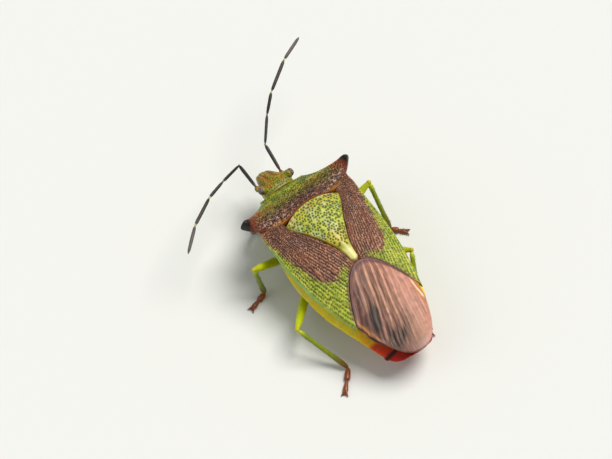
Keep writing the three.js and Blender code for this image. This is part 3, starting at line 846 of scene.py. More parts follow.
# %% Colour the film
SALMON, ROSE, COCOA, SLATE = pigments("b08268", "cc8c76", "664440", "56444c")
FURROW, FURROW_DARK, VEIN_PINK, TAN = pigments("5c3626", "2a1911", "d6a48a", "8a5c4a")
SMOKE_GREY, FRONT_RIM, GLINT = pigments("2e2822", "54323a", "f4e2c8")
TAWNY, END_PINK, GOLDEN_RIM = pigments("c07410", "c99a90", "c9822e")
vein_light = 0.75 * fade * ease(wave + 0.3 * fibre, 0.3, 1.0) * (1 - 0.6 * smoke)
vein_light = vein_light * (1 - 0.7 * dusk) * (1 - 0.35 * ease(x, 0.8, 2))
glint = 0.9 * bump(x, -2.08, 0.055) * ease(y, 6.9, 7.2) * fade_out(y, 8.1, 8.4)
tawny_line = 0.95 * bump(x, -1.95 + 0.06 * (y - 7.3), 0.05) * ease(y, 7.0, 7.3)
film_shade = coat_of(
    SALMON,
    (ROSE, 0.9 * ease(-x - 0.15 * (y - 8), -0.1, 1.3) * (0.9 + 0.5 * patch)),
    (COCOA, 0.9 * ease(x + 0.35 * (y - 8), -0.2, 1.5) * (0.85 + 0.5 * streak)),
    (SLATE, 0.95 * dusk * (0.85 + 0.6 * streak)),
    (FURROW, 0.82 * fade * ease(-wave - 0.3 * pleat + 0.35 * streak, 0.0, 0.9)),
    (FURROW_DARK, 0.55 * fade * bump(wave, -0.5, 0.4) * ease(streak + 0.3 * fibre, -0.4, 0.2)),
    (VEIN_PINK, vein_light),
    (TAN, 0.35 * ease(cloudy, 0.0, 0.4) + 0.3 * ease(fibre, 0.1, 0.5)),
    (SMOKE_GREY, 0.85 * smoke),
    (FRONT_RIM, 0.85 * fade_out(v, 0.03, 0.075) * (1 - 0.4 * ease(x, 0.5, 2))),
    (GLINT, glint),
    (TAWNY, tawny_line * fade_out(y, 8.5, 8.9)),
    (TAWNY, 0.8 * ease(-x, 2.08, 2.16) * bump(y, 7.6, 0.6)),
    (END_PINK, 0.5 * ease(v, 0.9, 0.99) * ease(-x, -0.6, 0.8)),
    (GOLDEN_RIM, 0.8 * bump(rim_gap, 0.12, 0.06) * bump(y, 8.1, 0.8) * (x > 0)),
)
film_shell = shell_finish("wing_film", 0.44, 0.08, grain=0.25, mottle=0.14, shine=0.28)
plate_piece("film_right", film, film_shell, "membrane_right", film_shade, 0 * x)

# %% [markdown]
# ## The strip of the other wing
# Only a narrow strip of the left film shows past the right one. A whole second film
# would lie a hair under the first and flicker through it, so just the strip is made,
# thin, a step lower, and darker in the middle.

# %% Shape and colour the strip of the left film
STRIP_THICKNESS, STRIP_DROP = 0.12, 0.16


def strip_place(u, v):
    y = blend(suture_y(MEMBRANE_HALF) + 0.2, 9.5, v)
    width = 0.17 * np.sin(np.pi * blend(0.2, 1, v)) ** 0.5
    return film_edge(y) - 0.15 + (0.1 + width) * u, y


def strip_relief(u, v, x, y):
    return -STRIP_DROP + 0.015 * np.sin(30 * v)


strip = plate_points(strip_place, STRIP_THICKNESS, strip_relief, columns=30, rows=90, roll=0.05)
u, v, x, y = strip["grid"]
STRIP_BROWN, STRIP_DARK, STRIP_GOLD = pigments("6b4434", "241a17", "c98a3a")
strip_shade = coat_of(
    STRIP_BROWN, (STRIP_DARK, 0.7 * bump(v, 0.55, 0.2)), (STRIP_GOLD, 0.5 * bump(v, 0.25, 0.15))
)
plate_piece("film_left", strip, film_shell, "membrane_left", strip_shade, 0 * u)

# %% [markdown]
# ## The body under the plates
# From the side or from below, the bug is one smooth, glossy belly, golden yellow that
# turns orange and then red at the tail. Made ring by ring, it would show seams. It is a
# single skin from shield to tail, in which grooves mark the rings of the abdomen, and
# its flat side rim stands past the wings.

# %% Outlines of the belly
BELLY_Z = {-2.8: -3.0, -1.6: -3.55, 0: -3.85, 3: -3.98, 6: -3.92, 8.5: -3.7, 10.6: -3.35}
BODY_X = {
    -2.8: 1.25, -1.6: 2.1, -0.6: 2.9, 1: 3.3, 3: 3.5, 5: 3.34,
    7: 2.86, 8.6: 2.34, 9.8: 1.86, 10.2: 1.5, 10.4: 1.15, 10.5: 0.6,
}
RING_LINES = [1.0, 2.6, 3.9, 5.2, 6.5, 7.7, 8.8, 9.6]


def rim_height(half, y):
    return back_height(half, y) - PLATE - SEAM


print("the belly hangs to, mm:", along(BELLY_Z, 3.0))

# %% Bend the belly round
BODY_ROWS, BODY_AROUND = 420, 232
BODY_FRONT, BODY_REAR = -2.8, 10.5


def full(values):
    return np.broadcast_to(values, (BODY_ROWS, BODY_AROUND))


body_y = blend(BODY_FRONT, BODY_REAR, np.linspace(0, 1, BODY_ROWS))[:, None]
turn_round = np.linspace(0, 2 * np.pi, BODY_AROUND, endpoint=False)[None, :]
side_way, height_way = np.cos(turn_round), np.sin(turn_round)
across = np.sign(side_way) * np.abs(side_way) ** 0.62
half = along(BODY_X, body_y) * (1 - fade_out(body_y, -2.8, -2.6) * 0.1)
right_narrowing = 1 - 0.21 * ease(body_y, 7.6, 9.5)
body_x = across * half * np.where(across < 0, right_narrowing, 1)
edge = rim_height(half, body_y) - 0.15
top = np.minimum(back_height(body_x, body_y) - PLATE - 0.02, edge + 2.0)
roof = blend(edge, top, np.abs(height_way) ** 0.7)
bowl = blend(edge, along(BELLY_Z, body_y), (1 - np.abs(across) ** 2.2) ** 0.9)
body_z = np.where(height_way >= 0, roof, bowl)
print("the belly is", np.ptp(body_x).round(2), "mm wide")

# %% Carve the rings, the keel and the folds of the belly
body_line = body_y + 0.25 * (np.abs(across) ** 2 - 0.4)
groove = sum(bump(body_line, line, 0.035) for line in RING_LINES)
notch = sum(bump(body_y, line + 0.12, 0.05) for line in RING_LINES[2:])
under = ease(-height_way, -0.1, 0.1)
midline = 0.05 * bump(across, 0, 0.05) * under * ease(body_y, 0.5, 3)
body_z = body_z + 0.045 * groove * under - midline
tooth = ease(body_y, 9.45, 9.74) * fade_out(body_y, 9.76, 9.86)
body_x = body_x * (1 + (0.07 * tooth - 0.012 * notch) * bump(np.abs(across), 1, 0.12))
front_keel = ease(body_y, -2.3, -1.9) * fade_out(body_y, -0.6, -0.2)
rear_keel = 1.6 * ease(body_y, 1.35, 1.7) * fade_out(body_y, 2.1, 3.4)
body_z = body_z - 0.12 * (front_keel + rear_keel) * bump(body_x, 0, 0.13) * under
fold_line = body_y + 0.1 * np.abs(body_x)
folds = bump(fold_line, -0.62, 0.04) + bump(fold_line, 0.95, 0.04)
body_z = body_z + 0.05 * folds * under
print("rings on the abdomen:", len(RING_LINES))

# %% Roughen the belly and close its ends
pucker = smooth_noise(body_x * 1.1, body_y + body_z, 0.35, 6.6)
body_z = body_z + 0.012 * pucker
belly_dots = pit_dots(((-3.6, -2.8), (3.6, 10.4)), 0.24, lambda px, py: 0.55 + 0.4 * (py < 1.2))
belly_pits = pit_depth(belly_dots, body_x, full(body_y), 0.075)
belly_pits = belly_pits * under * (1 - bump(np.abs(across), 1, 0.12))
body_z = body_z + 0.02 * belly_pits
body_z = blend(body_z, -3.0, 0.5 * ease(body_y, 10.1, 10.5))
points = np.stack([body_x, full(body_y), body_z], -1).reshape(-1, 3)
points = np.concatenate([points, [[0, -2.85, -2.2]], [[0, 10.52, -3.0]]])
print("pits under the belly:", len(belly_dots))

# %% Colour the belly skin
BELLY_GREEN, GOLD, WARM_GOLD, PALE_YELLOW = pigments("b8a81c", "ead000", "e8ac02", "d8d060")
CORAL, CRIMSON = pigments("cc3a02", "9c1002")


def with_ends(values):
    return np.concatenate([values, values[:1], values[-1:]])


reach = np.abs(full(across))
along_body = full(body_y)
tooth_band = bump(along_body, 9.72, 0.15)
tooth_mark = ease(reach + 0.3 * bump(along_body, 9.72, 0.1), 0.7, 0.9)
rim_row = bump(reach, 0.86, 0.03)
spots = sum(bump(along_body, line + 0.55, 0.07) * rim_row * under for line in RING_LINES[1:])
body_shade = coat_of(
    BELLY_GREEN,
    (MOSS, 0.55 * fade_out(along_body, 0.0, 3.0) + 0.2 * pucker),
    (GOLD, ease(reach, 0.6, 0.95) * ease(along_body, 0.5, 2.5)),
    (WARM_GOLD, ease(along_body + 0.8 * reach, 7.6, 9.2)),
    (CORAL, ease(along_body + 0.35 * reach, 8.7, 9.1)),
    (CRIMSON, 0.85 * ease(along_body, 8.9, 10.2)),
    (PITCH, 0.97 * tooth_band * tooth_mark),
    (RUST, 0.45 * (groove * under) + 0.4 * (folds * under)),
    (PALE_YELLOW, 0.35 * ease(pucker, 0.0, 0.4) * fade_out(along_body, 7.5, 8.5)),
    (PITCH, spots),
)
belly_shell = shell_finish("belly_shell", 0.34, 0.08, grain=0.25, mottle=0.1, shine=0.22)
make_piece(
    "belly_skin", points, ring_faces(BODY_ROWS, BODY_AROUND, flip=True), belly_shell,
    ["prothorax", "thorax", "abdomen", "abdomen_tip"],
    with_ends(body_shade), with_ends(0.5 * belly_pits.ravel()),
)

# %% [markdown]
# ## Fusing limbs into one skin
# A leg is several lengths with joints between, and modelled apart they would look like a
# toy. Tubes with the right swellings are overlapped instead; a remesh wraps one even
# skin round them, and a little smoothing rounds the folds. This is done at a thousand
# times life size, because Blender's voxels can't be made small enough.

# %% A tube along a path
def tube(path, radii, around=20, flatten=1.0):
    path = np.asarray(path, float)
    onward = np.gradient(path, axis=0)
    onward /= np.linalg.norm(onward, axis=1)[:, None]
    side = np.cross([0, 0, 1.0], onward)
    side[np.linalg.norm(side, axis=1) < 1e-3] = [1, 0, 0]
    side /= np.linalg.norm(side, axis=1)[:, None]
    up = np.cross(onward, side)
    angle = np.linspace(0, 2 * np.pi, around, endpoint=False)[None, :, None]
    ring = side[:, None] * np.cos(angle) + up[:, None] * flatten * np.sin(angle)
    rings = path[:, None] + np.asarray(radii)[:, None, None] * ring
    points = np.concatenate([rings.reshape(-1, 3), path[:1], path[-1:]])
    return points, ring_faces(len(path), around)


print("points of a short tube:", len(tube([[0, 0, 0], [0, 1, 0]], [1, 1])[0]))

# %% Rods with swellings, and balls for the joints
def rod(start, end, swelling, steps=24, **options):
    start, end = np.asarray(start, float), np.asarray(end, float)
    t = 0.5 - 0.5 * np.cos(np.linspace(0, np.pi, steps))
    radii = along(swelling, t) * np.sqrt(np.clip(1 - (2 * t - 1) ** 8, 0.02, 1))
    return tube(start + (end - start) * t[:, None], radii, **options)


def ball(centre, radius, stretch=(1, 1, 1)):
    t = np.linspace(-1, 1, 13)
    path = np.asarray(centre) + np.stack([0 * t, t * radius * stretch[1], 0 * t], -1)
    radii = np.sqrt(np.clip(1 - t * t, 0.003, 1)) * radius * stretch[0]
    return tube(path, radii, flatten=stretch[2] / stretch[0])


print("points of a ball:", len(ball((0, 0, 0), 1)[0]))

# %% Fuse overlapping parts under one skin
def joined(parts):
    points, faces, start = [], [], 0
    for part_points, part_faces in parts:
        points.append(part_points)
        faces += [[start + corner for corner in face] for face in part_faces]
        start += len(part_points)
    return np.concatenate(points), faces


def fused_skin(parts, voxel, smooth=4):
    points, faces = joined(parts)
    mesh = bpy.data.meshes.new("rough")
    mesh.from_pydata(points.tolist(), [], faces)
    rough = bpy.data.objects.new("rough", mesh)
    bpy.context.scene.collection.objects.link(rough)
    wrap = rough.modifiers.new("wrap", "REMESH")
    wrap.mode = "VOXEL"
    wrap.voxel_size = voxel
    relax = rough.modifiers.new("relax", "SMOOTH")
    relax.factor = 0.5
    relax.iterations = smooth
    wrapped = rough.evaluated_get(bpy.context.evaluated_depsgraph_get())
    done = bpy.data.meshes.new_from_object(wrapped)
    skin = np.array([tuple(vertex.co) for vertex in done.vertices])
    skin_faces = [list(face.vertices) for face in done.polygons]
    bpy.data.objects.remove(rough)
    for used in (mesh, done):
        bpy.data.meshes.remove(used)
    return skin, skin_faces


two_balls = [ball((0, 0, 0), 1), ball((0, 1, 0), 1)]
print("points of two balls fused:", len(fused_skin(two_balls, 0.3)[0]))

# %% How far along a limb each point of its skin lies
def place_on(points, joints):
    best, where = np.full(len(points), np.inf), np.zeros(len(points))
    for i, (a, b) in enumerate(zip(joints[:-1], joints[1:])):
        a, b = np.asarray(a), np.asarray(b)
        t = np.clip((points - a) @ (b - a) / ((b - a) @ (b - a)), 0, 1)
        away = np.linalg.norm(points - (a + t[:, None] * (b - a)), axis=1)
        closer = away < best
        best[closer], where[closer] = away[closer], (i + t)[closer]
    return where


on_second = place_on(np.array([[1.0, 0.5, 0]]), [[0, 0, 0], [1, 0, 0], [1, 1, 0]])
print("a point halfway along the second length:", on_second)

# %% [markdown]
# ## Bristles
# Shins, feet and feelers carry short, stiff bristles that lean outwards. Blender's hair
# would be lost when the model is exported as a mesh, so each bristle is a thin spike with
# three sides, rooted just under the skin at a vertex drawn by chance.

# %% Short bristles for shins, feet and feelers
BRISTLE_HALF = 0.011
SPIKE_FACES = ((0, 1, 3), (1, 2, 3), (2, 0, 3), (0, 2, 1))


def with_bristles(skin, faces, shade, joints, first, last, count, length, colour):
    where = place_on(skin, joints)
    choice = np.flatnonzero((where > first) & (where < last))
    roots = chance.choice(choice, count, replace=False)
    part = np.minimum(where[roots].astype(int), len(joints) - 2)
    start, end = np.array(joints)[part], np.array(joints)[part + 1]
    axis = (end - start) / np.linalg.norm(end - start, axis=1)[:, None]
    out = skin[roots] - start - (where[roots] - part)[:, None] * (end - start)
    out -= axis * (out * axis).sum(1)[:, None]
    out /= np.linalg.norm(out, axis=1)[:, None]
    side = np.cross(axis, out)
    base = skin[roots] - out * 0.012
    reach = (out * 0.75 + axis * 0.7) * (length * chance.uniform(0.7, 1.2, count))[:, None]
    corners = [
        base + BRISTLE_HALF * side,
        base + BRISTLE_HALF * (0.87 * axis - 0.5 * side),
        base - BRISTLE_HALF * (0.87 * axis + 0.5 * side),
    ]
    spikes = np.stack([*corners, base + reach], 1).reshape(-1, 3)
    spike_faces = [[4 * k + i for i in face] for k in range(count) for face in SPIKE_FACES]
    points, all_faces = joined([(skin, faces), (spikes, spike_faces)])
    return points, all_faces, np.concatenate([shade, np.ones((len(spikes), 1)) * colour])


print("a bristle is", 2 * BRISTLE_HALF, "mm thick and has", len(SPIKE_FACES), "faces")

# %% [markdown]
# ## Legs
# Each leg has a hip set in the belly, a spindle-shaped yellow-green thigh, a slim olive
# shin, and a rusty foot of two lengths with a pair of claws. One leg could be copied six
# times, but no two are bent alike, so each is built between its own joints, and the
# soles are pressed flat at floor level.

# %% Joints of the six legs
SOLE = -BACK_HEIGHT
ANKLE_UP, TOE_UP = 0.2, 0.11
LEGS = {
    "fore_left": [(0.95, -1.75), (2.55, -2.75, -2.55), (2.05, -3.05), (1.45, -3.75)],
    "fore_right": [(-0.95, -1.75), (-2.6, -2.55, -2.6), (-2.3, -2.75), (-1.7, -3.5)],
    "mid_left": [(1.35, -0.05), (4.78, 0.47, -1.85), (4.2, 0.75), (5.4, 1.1)],
    "mid_right": [(-1.35, -0.05), (-4.82, -0.38, -2.4), (-4.7, 1.95), (-5.35, 2.62)],
    "hind_left": [(1.5, 1.75), (5.02, 4.95, -2.75), (3.52, 8.03), (4.72, 9.2)],
    "hind_right": [(-1.5, 1.75), (-3.95, 4.8, -2.85), (-2.35, 7.75), (-1.9, 9.2)],
}


def belly_height(x, y):
    half = along(BODY_X, y)
    return blend(along(BELLY_Z, y), rim_height(half, y) - 0.32, (np.abs(x) / half) ** 2.2)


def level_way(start, end):
    way = (end - start) * [1, 1, 0]
    return way / np.linalg.norm(way)


def leg_joints(hip, knee, ankle, toe):
    top = np.array([*hip, belly_height(*hip) - SEAM])
    elbow = top + level_way(top, np.array(knee)) * 0.22 + [0, 0, -0.42]
    ankle, toe = np.array([*ankle, SOLE + ANKLE_UP]), np.array([*toe, SOLE + TOE_UP])
    return [top, elbow, np.array(knee), ankle, toe]


print("left hind knee at, mm:", leg_joints(*LEGS["hind_left"])[2])

# %% Swellings of the parts of a leg
HIP = {0: 0.42, 0.6: 0.42, 1: 0.34}
THIGH = {0: 0.16, 0.15: 0.22, 0.45: 0.29, 0.75: 0.25, 0.93: 0.19, 1: 0.17}
SHIN = {0: 0.14, 0.08: 0.17, 0.2: 0.145, 0.6: 0.15, 0.9: 0.18, 1: 0.17}
FOOT = {0: 0.12, 0.3: 0.17, 0.8: 0.19, 1: 0.13}
TOE = {0: 0.1, 0.35: 0.13, 0.85: 0.17, 1: 0.12}


def claw(root, ahead, aside, sign):
    t = np.linspace(0, 1, 12)[:, None]
    forward = ahead * (0.32 * np.sin(t * 1.5))
    outward = aside * sign * (0.05 + 0.17 * t)
    path = root + forward + outward + np.array([0, 0, 1]) * (0.06 - 0.13 * t**2)
    return tube(path, np.linspace(0.075, 0.03, 12), around=10)


def leg_parts(top, elbow, knee, ankle, toe):
    thigh, ahead, mid_foot = knee - elbow, level_way(ankle, toe), blend(ankle, toe, 0.5)
    parts = [
        rod(top + [0, 0, 0.5], top + [0, 0, -0.3], HIP),
        ball(elbow, 0.24),
        rod(elbow - thigh * 0.02, knee + thigh * 0.03, THIGH),
        ball(knee, 0.155),
        rod(knee, ankle, SHIN),
        rod(ankle, mid_foot + ahead * 0.06, FOOT, flatten=0.9),
        rod(mid_foot, toe, TOE, flatten=0.9),
    ]
    aside = np.array([-ahead[1], ahead[0], 0])
    for sign in (-1, 1):
        parts.append(claw(toe - ahead * 0.08, ahead, aside, sign))
        parts.append(ball(toe + ahead * 0.1 + aside * sign * 0.06 + [0, 0, -0.02], 0.07))
    return parts


print("parts fused in a leg:", len(leg_parts(*leg_joints(*LEGS["fore_left"]))))

# %% Colours of a leg
THIGH_GREEN, THIGH_LIGHT, SHIN_OLIVE, SHIN_BROWN = pigments("aebb0a", "c4cc30", "7d8c10", "6d5410")
FOOT_BROWN, BRISTLE_TAN = pigments("5d2c14", "6b4a1c")


def leg_colours(skin, joints):
    top, elbow, knee, ankle, toe = joints
    where = place_on(skin, [*joints, toe + level_way(ankle, toe) * 0.4])
    patch = smooth_noise(skin[:, 0] + skin[:, 2], skin[:, 1] - skin[:, 2], 0.25, 2.2)
    return coat_of(
        THIGH_GREEN,
        (THIGH_LIGHT, 0.5 * ease(patch, -0.1, 0.5) * fade_out(where, 1.8, 2.0)),
        (OCHRE, 0.25 * bump(where, 2.0, 0.06) + 0.2 * bump(where, 1.02, 0.08)),
        (SHIN_OLIVE, ease(where, 2.03, 2.2)),
        (SHIN_BROWN, ease(where, 2.55, 2.95)),
        (RUST, 0.8 * ease(where, 2.9, 3.05)),
        (FOOT_BROWN, 0.7 * bump(where, 3.5, 0.04) + 0.5 * ease(where, 3.75, 4.0)),
        (PITCH, 0.9 * ease(where, 4.3, 4.7)),
    )


leg_shell = shell_finish("leg_shell", 0.32, 0.2, grain=0.3, mottle=0.12)

# %% Build the legs
LEG_VOXEL = 0.028
for leg, places in LEGS.items():
    joints = leg_joints(*places)
    skin, skin_faces = fused_skin(leg_parts(*joints), LEG_VOXEL)
    skin[:, 2] = np.maximum(skin[:, 2], SOLE + 0.004)
    skin, skin_faces, leg_shade = with_bristles(
        skin, skin_faces, leg_colours(skin, joints), joints,
        first=2.06, last=3.98, count=260, length=0.1, colour=BRISTLE_TAN,
    )
    skin[:, 2] = np.maximum(skin[:, 2], SOLE + 0.002)
    solids = [f"{part}_{leg}" for part in ("hip", "femur", "shin", "foot")]
    make_piece(f"leg_{leg}", skin, skin_faces, leg_shell, solids, leg_shade)

# %% [markdown]
# ## The head
# The head is a blunt wedge bent down in front of the shield, with a middle lobe between
# two side lobes, eyes at the rear corners, and a stub for each feeler. Cut from one
# block, these would need much carving. The wedge, the stubs, the eye seats and the two
# ridges that hold the beak are fused, as the legs were, and then pitted.

# %% Outlines of the head
HEAD_FRONT, HEAD_REAR = -5.05, -2.85
HEAD_X = {
    -5.05: 0.2, -4.9: 0.42, -4.4: 0.64, -3.85: 0.86, -3.5: 1.03, -3.1: 1.06, -2.85: 1.0,
}
HEAD_TOP = {-5.05: -2.25, -4.6: -1.85, -3.9: -1.42, -3.1: -1.15, -2.85: -1.2}
HEAD_UNDER = {-5.05: -2.6, -4.6: -2.8, -3.9: -2.85, -2.85: -2.75}
LOBE_HALF = 0.24


def head_middle(y):
    return blend(along(HEAD_UNDER, y), along(HEAD_TOP, y), 0.55)


print("the head is", round(HEAD_REAR - HEAD_FRONT, 2), "mm long")

# %% The wedge of the head
WEDGE_ROWS, WEDGE_AROUND = 90, 160


def head_wedge():
    y = blend(HEAD_REAR, HEAD_FRONT, np.linspace(0, 1, WEDGE_ROWS))[:, None]
    angle = np.linspace(0, 2 * np.pi, WEDGE_AROUND, endpoint=False)[None, :]
    rise, sideways = np.sin(angle), np.cos(angle)
    tip = np.sqrt(np.clip(1 - ease(y, -4.85, -5.06) ** 3, 0.05, 1))
    x = np.sign(sideways) * np.abs(sideways) ** 0.75 * (along(HEAD_X, y) * tip)
    limit = np.where(rise >= 0, along(HEAD_TOP, y), along(HEAD_UNDER, y))
    z = blend(head_middle(y), limit, np.abs(rise) ** 0.8 * tip)
    lobes = 0.1 * bump(np.abs(x), LOBE_HALF, 0.05) * ease(-y, 3.7, 4.0) * (rise > 0)
    cheeks = 0.05 * bump(np.abs(x), 0.62, 0.16) * bump(y, -3.75, 0.25) * (rise > 0)
    neck = 0.04 * bump(y, -3.12, 0.06) * (rise > 0)
    z = z - lobes + cheeks - neck
    points = np.stack([x, y + 0 * x, z], -1).reshape(-1, 3)
    points = np.concatenate([points, [[0, HEAD_REAR, -2]], [[0, HEAD_FRONT - 0.01, -2.42]]])
    return points, ring_faces(WEDGE_ROWS, WEDGE_AROUND)


print("wedge points", len(head_wedge()[0]))

# %% Where the feelers start and which way they bend
FEELER_LENGTHS = [1.9, 1.93, 1.45, 2.3, 1.95]
FEELER_ROOT = np.array([0.95, -4.2, -2.0])
FEELER_BENDS = {
    "left": [[-5, 0], [110, 18], [108, 4], [120, 5], [129, -9]],
    "right": [[7, 18], [42, 15], [49, 18], [59, 12], [67, 0]],
}
SIDES = {"left": np.array([1, 1, 1]), "right": np.array([-1, 1, 1])}


def heading(hand, outwards, pitch):
    a, b = np.radians([outwards, pitch])
    return SIDES[hand] * [np.sin(a) * np.cos(b), -np.cos(a) * np.cos(b), np.sin(b)]


def feeler_joints(hand):
    joints = [FEELER_ROOT * SIDES[hand]]
    for length, bend in zip(FEELER_LENGTHS, FEELER_BENDS[hand]):
        joints.append(joints[-1] + length * heading(hand, *bend))
    return joints


print("left feeler ends at", feeler_joints("left")[-1].round(2))

# %% Fuse the head
EYE_CENTRE = np.array([1.12, -3.45, -1.38])
HEAD_VOXEL = 0.022
parts = [head_wedge()]
for hand, flip in SIDES.items():
    aim = heading(hand, *FEELER_BENDS[hand][0])
    root = FEELER_ROOT * flip
    stub_start = np.array([0.4, -3.78, -2.15]) * flip
    ridge_front = np.array([0.2, -4.85, -2.68]) * flip
    ridge_rear = np.array([0.2, -3.5, -2.85]) * flip
    parts += [
        rod(stub_start, root - aim * 0.22, {0: 0.22, 0.6: 0.22, 1: 0.18}),
        rod(root - aim * 0.34, root - aim * 0.02, {0: 0.17, 0.7: 0.18, 1: 0.15}),
        ball((EYE_CENTRE - [0.16, 0, 0.05]) * flip, 0.27, (1, 1.1, 1)),
        rod(ridge_front, ridge_rear, {0: 0.06, 0.3: 0.1, 1: 0.07}),
    ]
skin, skin_faces = fused_skin(parts, HEAD_VOXEL, smooth=3)
print("the head's skin has", len(skin), "points")

# %% Pit the head
def head_scatter(px, py):
    return 0.85 - 0.5 * bump(np.abs(px), 0.5, 0.1) * bump(py, -3.3, 0.2)


head_x, head_y, head_z = skin.T
facing_up = ease(head_z - head_middle(head_y), 0.0, 0.25)
dots = pit_dots(((-1.2, -5.1), (1.2, -3.0)), 0.15, head_scatter)
in_groove = bump(np.abs(head_x), LOBE_HALF, 0.06) * ease(-head_y, 3.7, 4.0)
pits = pit_depth(dots, head_x, head_y, 0.058) * facing_up
pits = pits * (1 - bump(np.abs(head_x), 1.05, 0.12)) * (1 - in_groove)
skin[:, 2] -= 0.03 * pits
print("pits in the head:", len(dots))

# %% Colour the head
HEAD_OLIVE, HEAD_LIGHT, HEAD_AMBER, HEAD_RUST = pigments("77750e", "92961e", "a8741a", "9c4a0c")
NECK_GREY, GROOVE_BROWN = pigments("98a070", "6b3c14")
patch = smooth_noise(head_x, head_y, 0.3, 7.7)
blotch = smooth_noise(head_x + 3, head_y, 0.16, 1.2)
amber = 0.85 * ease(patch + 0.5 * blotch, -0.1, 0.3) * facing_up
head_shade = coat_of(
    HEAD_OLIVE,
    (HEAD_LIGHT, 0.5 * ease(-blotch, -0.1, 0.3) * facing_up),
    (HEAD_AMBER, amber * ease(-head_y, 3.15, 3.5)),
    (HEAD_RUST, 0.5 * ease(blotch, 0.1, 0.35) * facing_up * ease(-head_y, 3.3, 3.6)),
    (NECK_GREY, 0.4 * bump(head_y, -3.1, 0.06) * facing_up),
    (GROOVE_BROWN, 0.7 * in_groove * facing_up),
    (LIME, 0.6 * (1 - facing_up)),
    (RUST, 0.5 * ease(np.abs(head_x), 0.78, 0.95) * ease(-head_y, 3.9, 4.1)),
)
head_shell = shell_finish("head_shell", 0.42, 0.08, pit_strength=0.95, shine=0.26)
make_piece("head_skin", skin, skin_faces, head_shell, ["head"], head_shade, pits)

# %% [markdown]
# ## The eyes
# An insect's eye is a dome of some hundreds of tiny lenses. A bumpy texture would pinch
# at the top of the dome, so the lenses are modelled: points are spread by the golden
# angle, which packs them evenly, and each vertex is raised most where it is nearest one.
# Two red simple eyes, mere beads, sit on the crown.

# %% Spread the lenses and make a globe
def golden_points(count):
    i = np.arange(count) + 0.5
    rise = 1 - 2 * i / count
    angle = i * np.pi * (1 + 5**0.5)
    ring = np.sqrt(1 - rise * rise)
    return np.stack([ring * np.cos(angle), ring * np.sin(angle), rise], -1)


def globe(rows, around):
    rise = np.linspace(0, np.pi, rows + 2)[1:-1, None]
    angle = np.linspace(0, 2 * np.pi, around, endpoint=False)[None, :]
    ring = [np.sin(rise) * np.cos(angle), np.sin(rise) * np.sin(angle), np.cos(rise) + 0 * angle]
    points = np.concatenate([np.stack(ring, -1).reshape(-1, 3), [[0, 0, 1], [0, 0, -1]]])
    return points, ring_faces(rows, around, flip=True)


print("points of a small globe:", len(globe(5, 8)[0]))

# %% Raise the lenses and make the eyes
LENSES, LENS_REACH = 620, 0.079
EYE_SIZE = np.array([0.21, 0.26, 0.24])
EYE_BROWN, LENS_GAP, EYE_HIGHLIGHT = pigments("4d3029", "12080a", "8a6a60")
lens_tree = search_tree(golden_points(LENSES))
eye_points, eye_faces = globe(110, 220)
from_lens = np.array([lens_tree.find(point)[2] for point in eye_points])
lens_rim = np.clip(from_lens / LENS_REACH, 0, 1)
eye_shape = eye_points * (1 - 0.035 * lens_rim[:, None] ** 2) * EYE_SIZE
# painted highlight: the top of each eye is made lighter
eye_top_highlight = 0.35 * ease(eye_points[:, 2], 0.2, 0.9)
eye_shade = coat_of(EYE_BROWN, (LENS_GAP, 0.85 * lens_rim**3), (EYE_HIGHLIGHT, eye_top_highlight))
eye_lens = shell_finish("eye_lens", 0.22, 1.0, grain=0.05, mottle=0.05)

# %% Set the eyes and the simple eyes
BEAD_X, BEAD_Y = 0.5, -3.28
BEAD_SIZE = [0.06, 0.06, 0.055]
BEAD_RED, BEAD_HIGHLIGHT = pigments("b3201a", "e8604a")
bead, bead_faces = globe(20, 32)
# painted highlight: the top of each simple eye is made lighter
bead_shade = coat_of(BEAD_RED, (BEAD_HIGHLIGHT, 0.5 * ease(bead[:, 2], 0.5, 1)))
bead_at = np.array([BEAD_X, BEAD_Y, along(HEAD_TOP, BEAD_Y) - 0.06])
for hand, flip in SIDES.items():
    placed = EYE_CENTRE * flip + eye_shape
    make_piece(
        f"eye_{hand}_dome", placed, eye_faces, eye_lens, [f"eye_{hand}"], eye_shade
    )
    placed = bead_at * flip + bead * BEAD_SIZE
    make_piece(f"simple_eye_{hand}", placed, bead_faces, eye_lens, [], bead_shade)

# %% [markdown]
# ## The feelers
# Each feeler has five nearly black, slightly clubbed lengths, with thin necks between
# them and pale rings at the outer joints. They are about a fifth of a millimetre thick.
# Separate rods would show gaps at the necks, so they are fused like the legs.

# %% Swellings of the feelers' lengths
CLUBS = [
    {0: 0.085, 0.12: 0.1, 0.7: 0.115, 0.95: 0.112, 1: 0.09},
    {0: 0.068, 0.1: 0.084, 0.7: 0.094, 0.96: 0.096, 1: 0.07},
    {0: 0.068, 0.1: 0.086, 0.7: 0.1, 0.96: 0.1, 1: 0.07},
    {0: 0.068, 0.1: 0.098, 0.5: 0.108, 0.95: 0.108, 1: 0.07},
    {0: 0.068, 0.1: 0.1, 0.5: 0.106, 0.85: 0.092, 1: 0.045},
]
RINGS = [(0.9, 3.01, 0.045), (0.9, 4.01, 0.04), (0.45, 2.0, 0.03), (0.35, 1.0, 0.03)]


def feeler_parts(joints):
    parts = [ball(joints[0], 0.1)]
    for start, end, club in zip(joints[:-1], joints[1:], CLUBS):
        last = club is CLUBS[-1]
        step = end - start
        gap = 0.0 if last else 0.015
        parts.append(rod(start + step * 0.015, end - step * gap, club, steps=40))
        if not last:
            parts.append(ball(end, 0.07))
    return parts


print("parts fused in a feeler:", len(feeler_parts(feeler_joints("left"))))

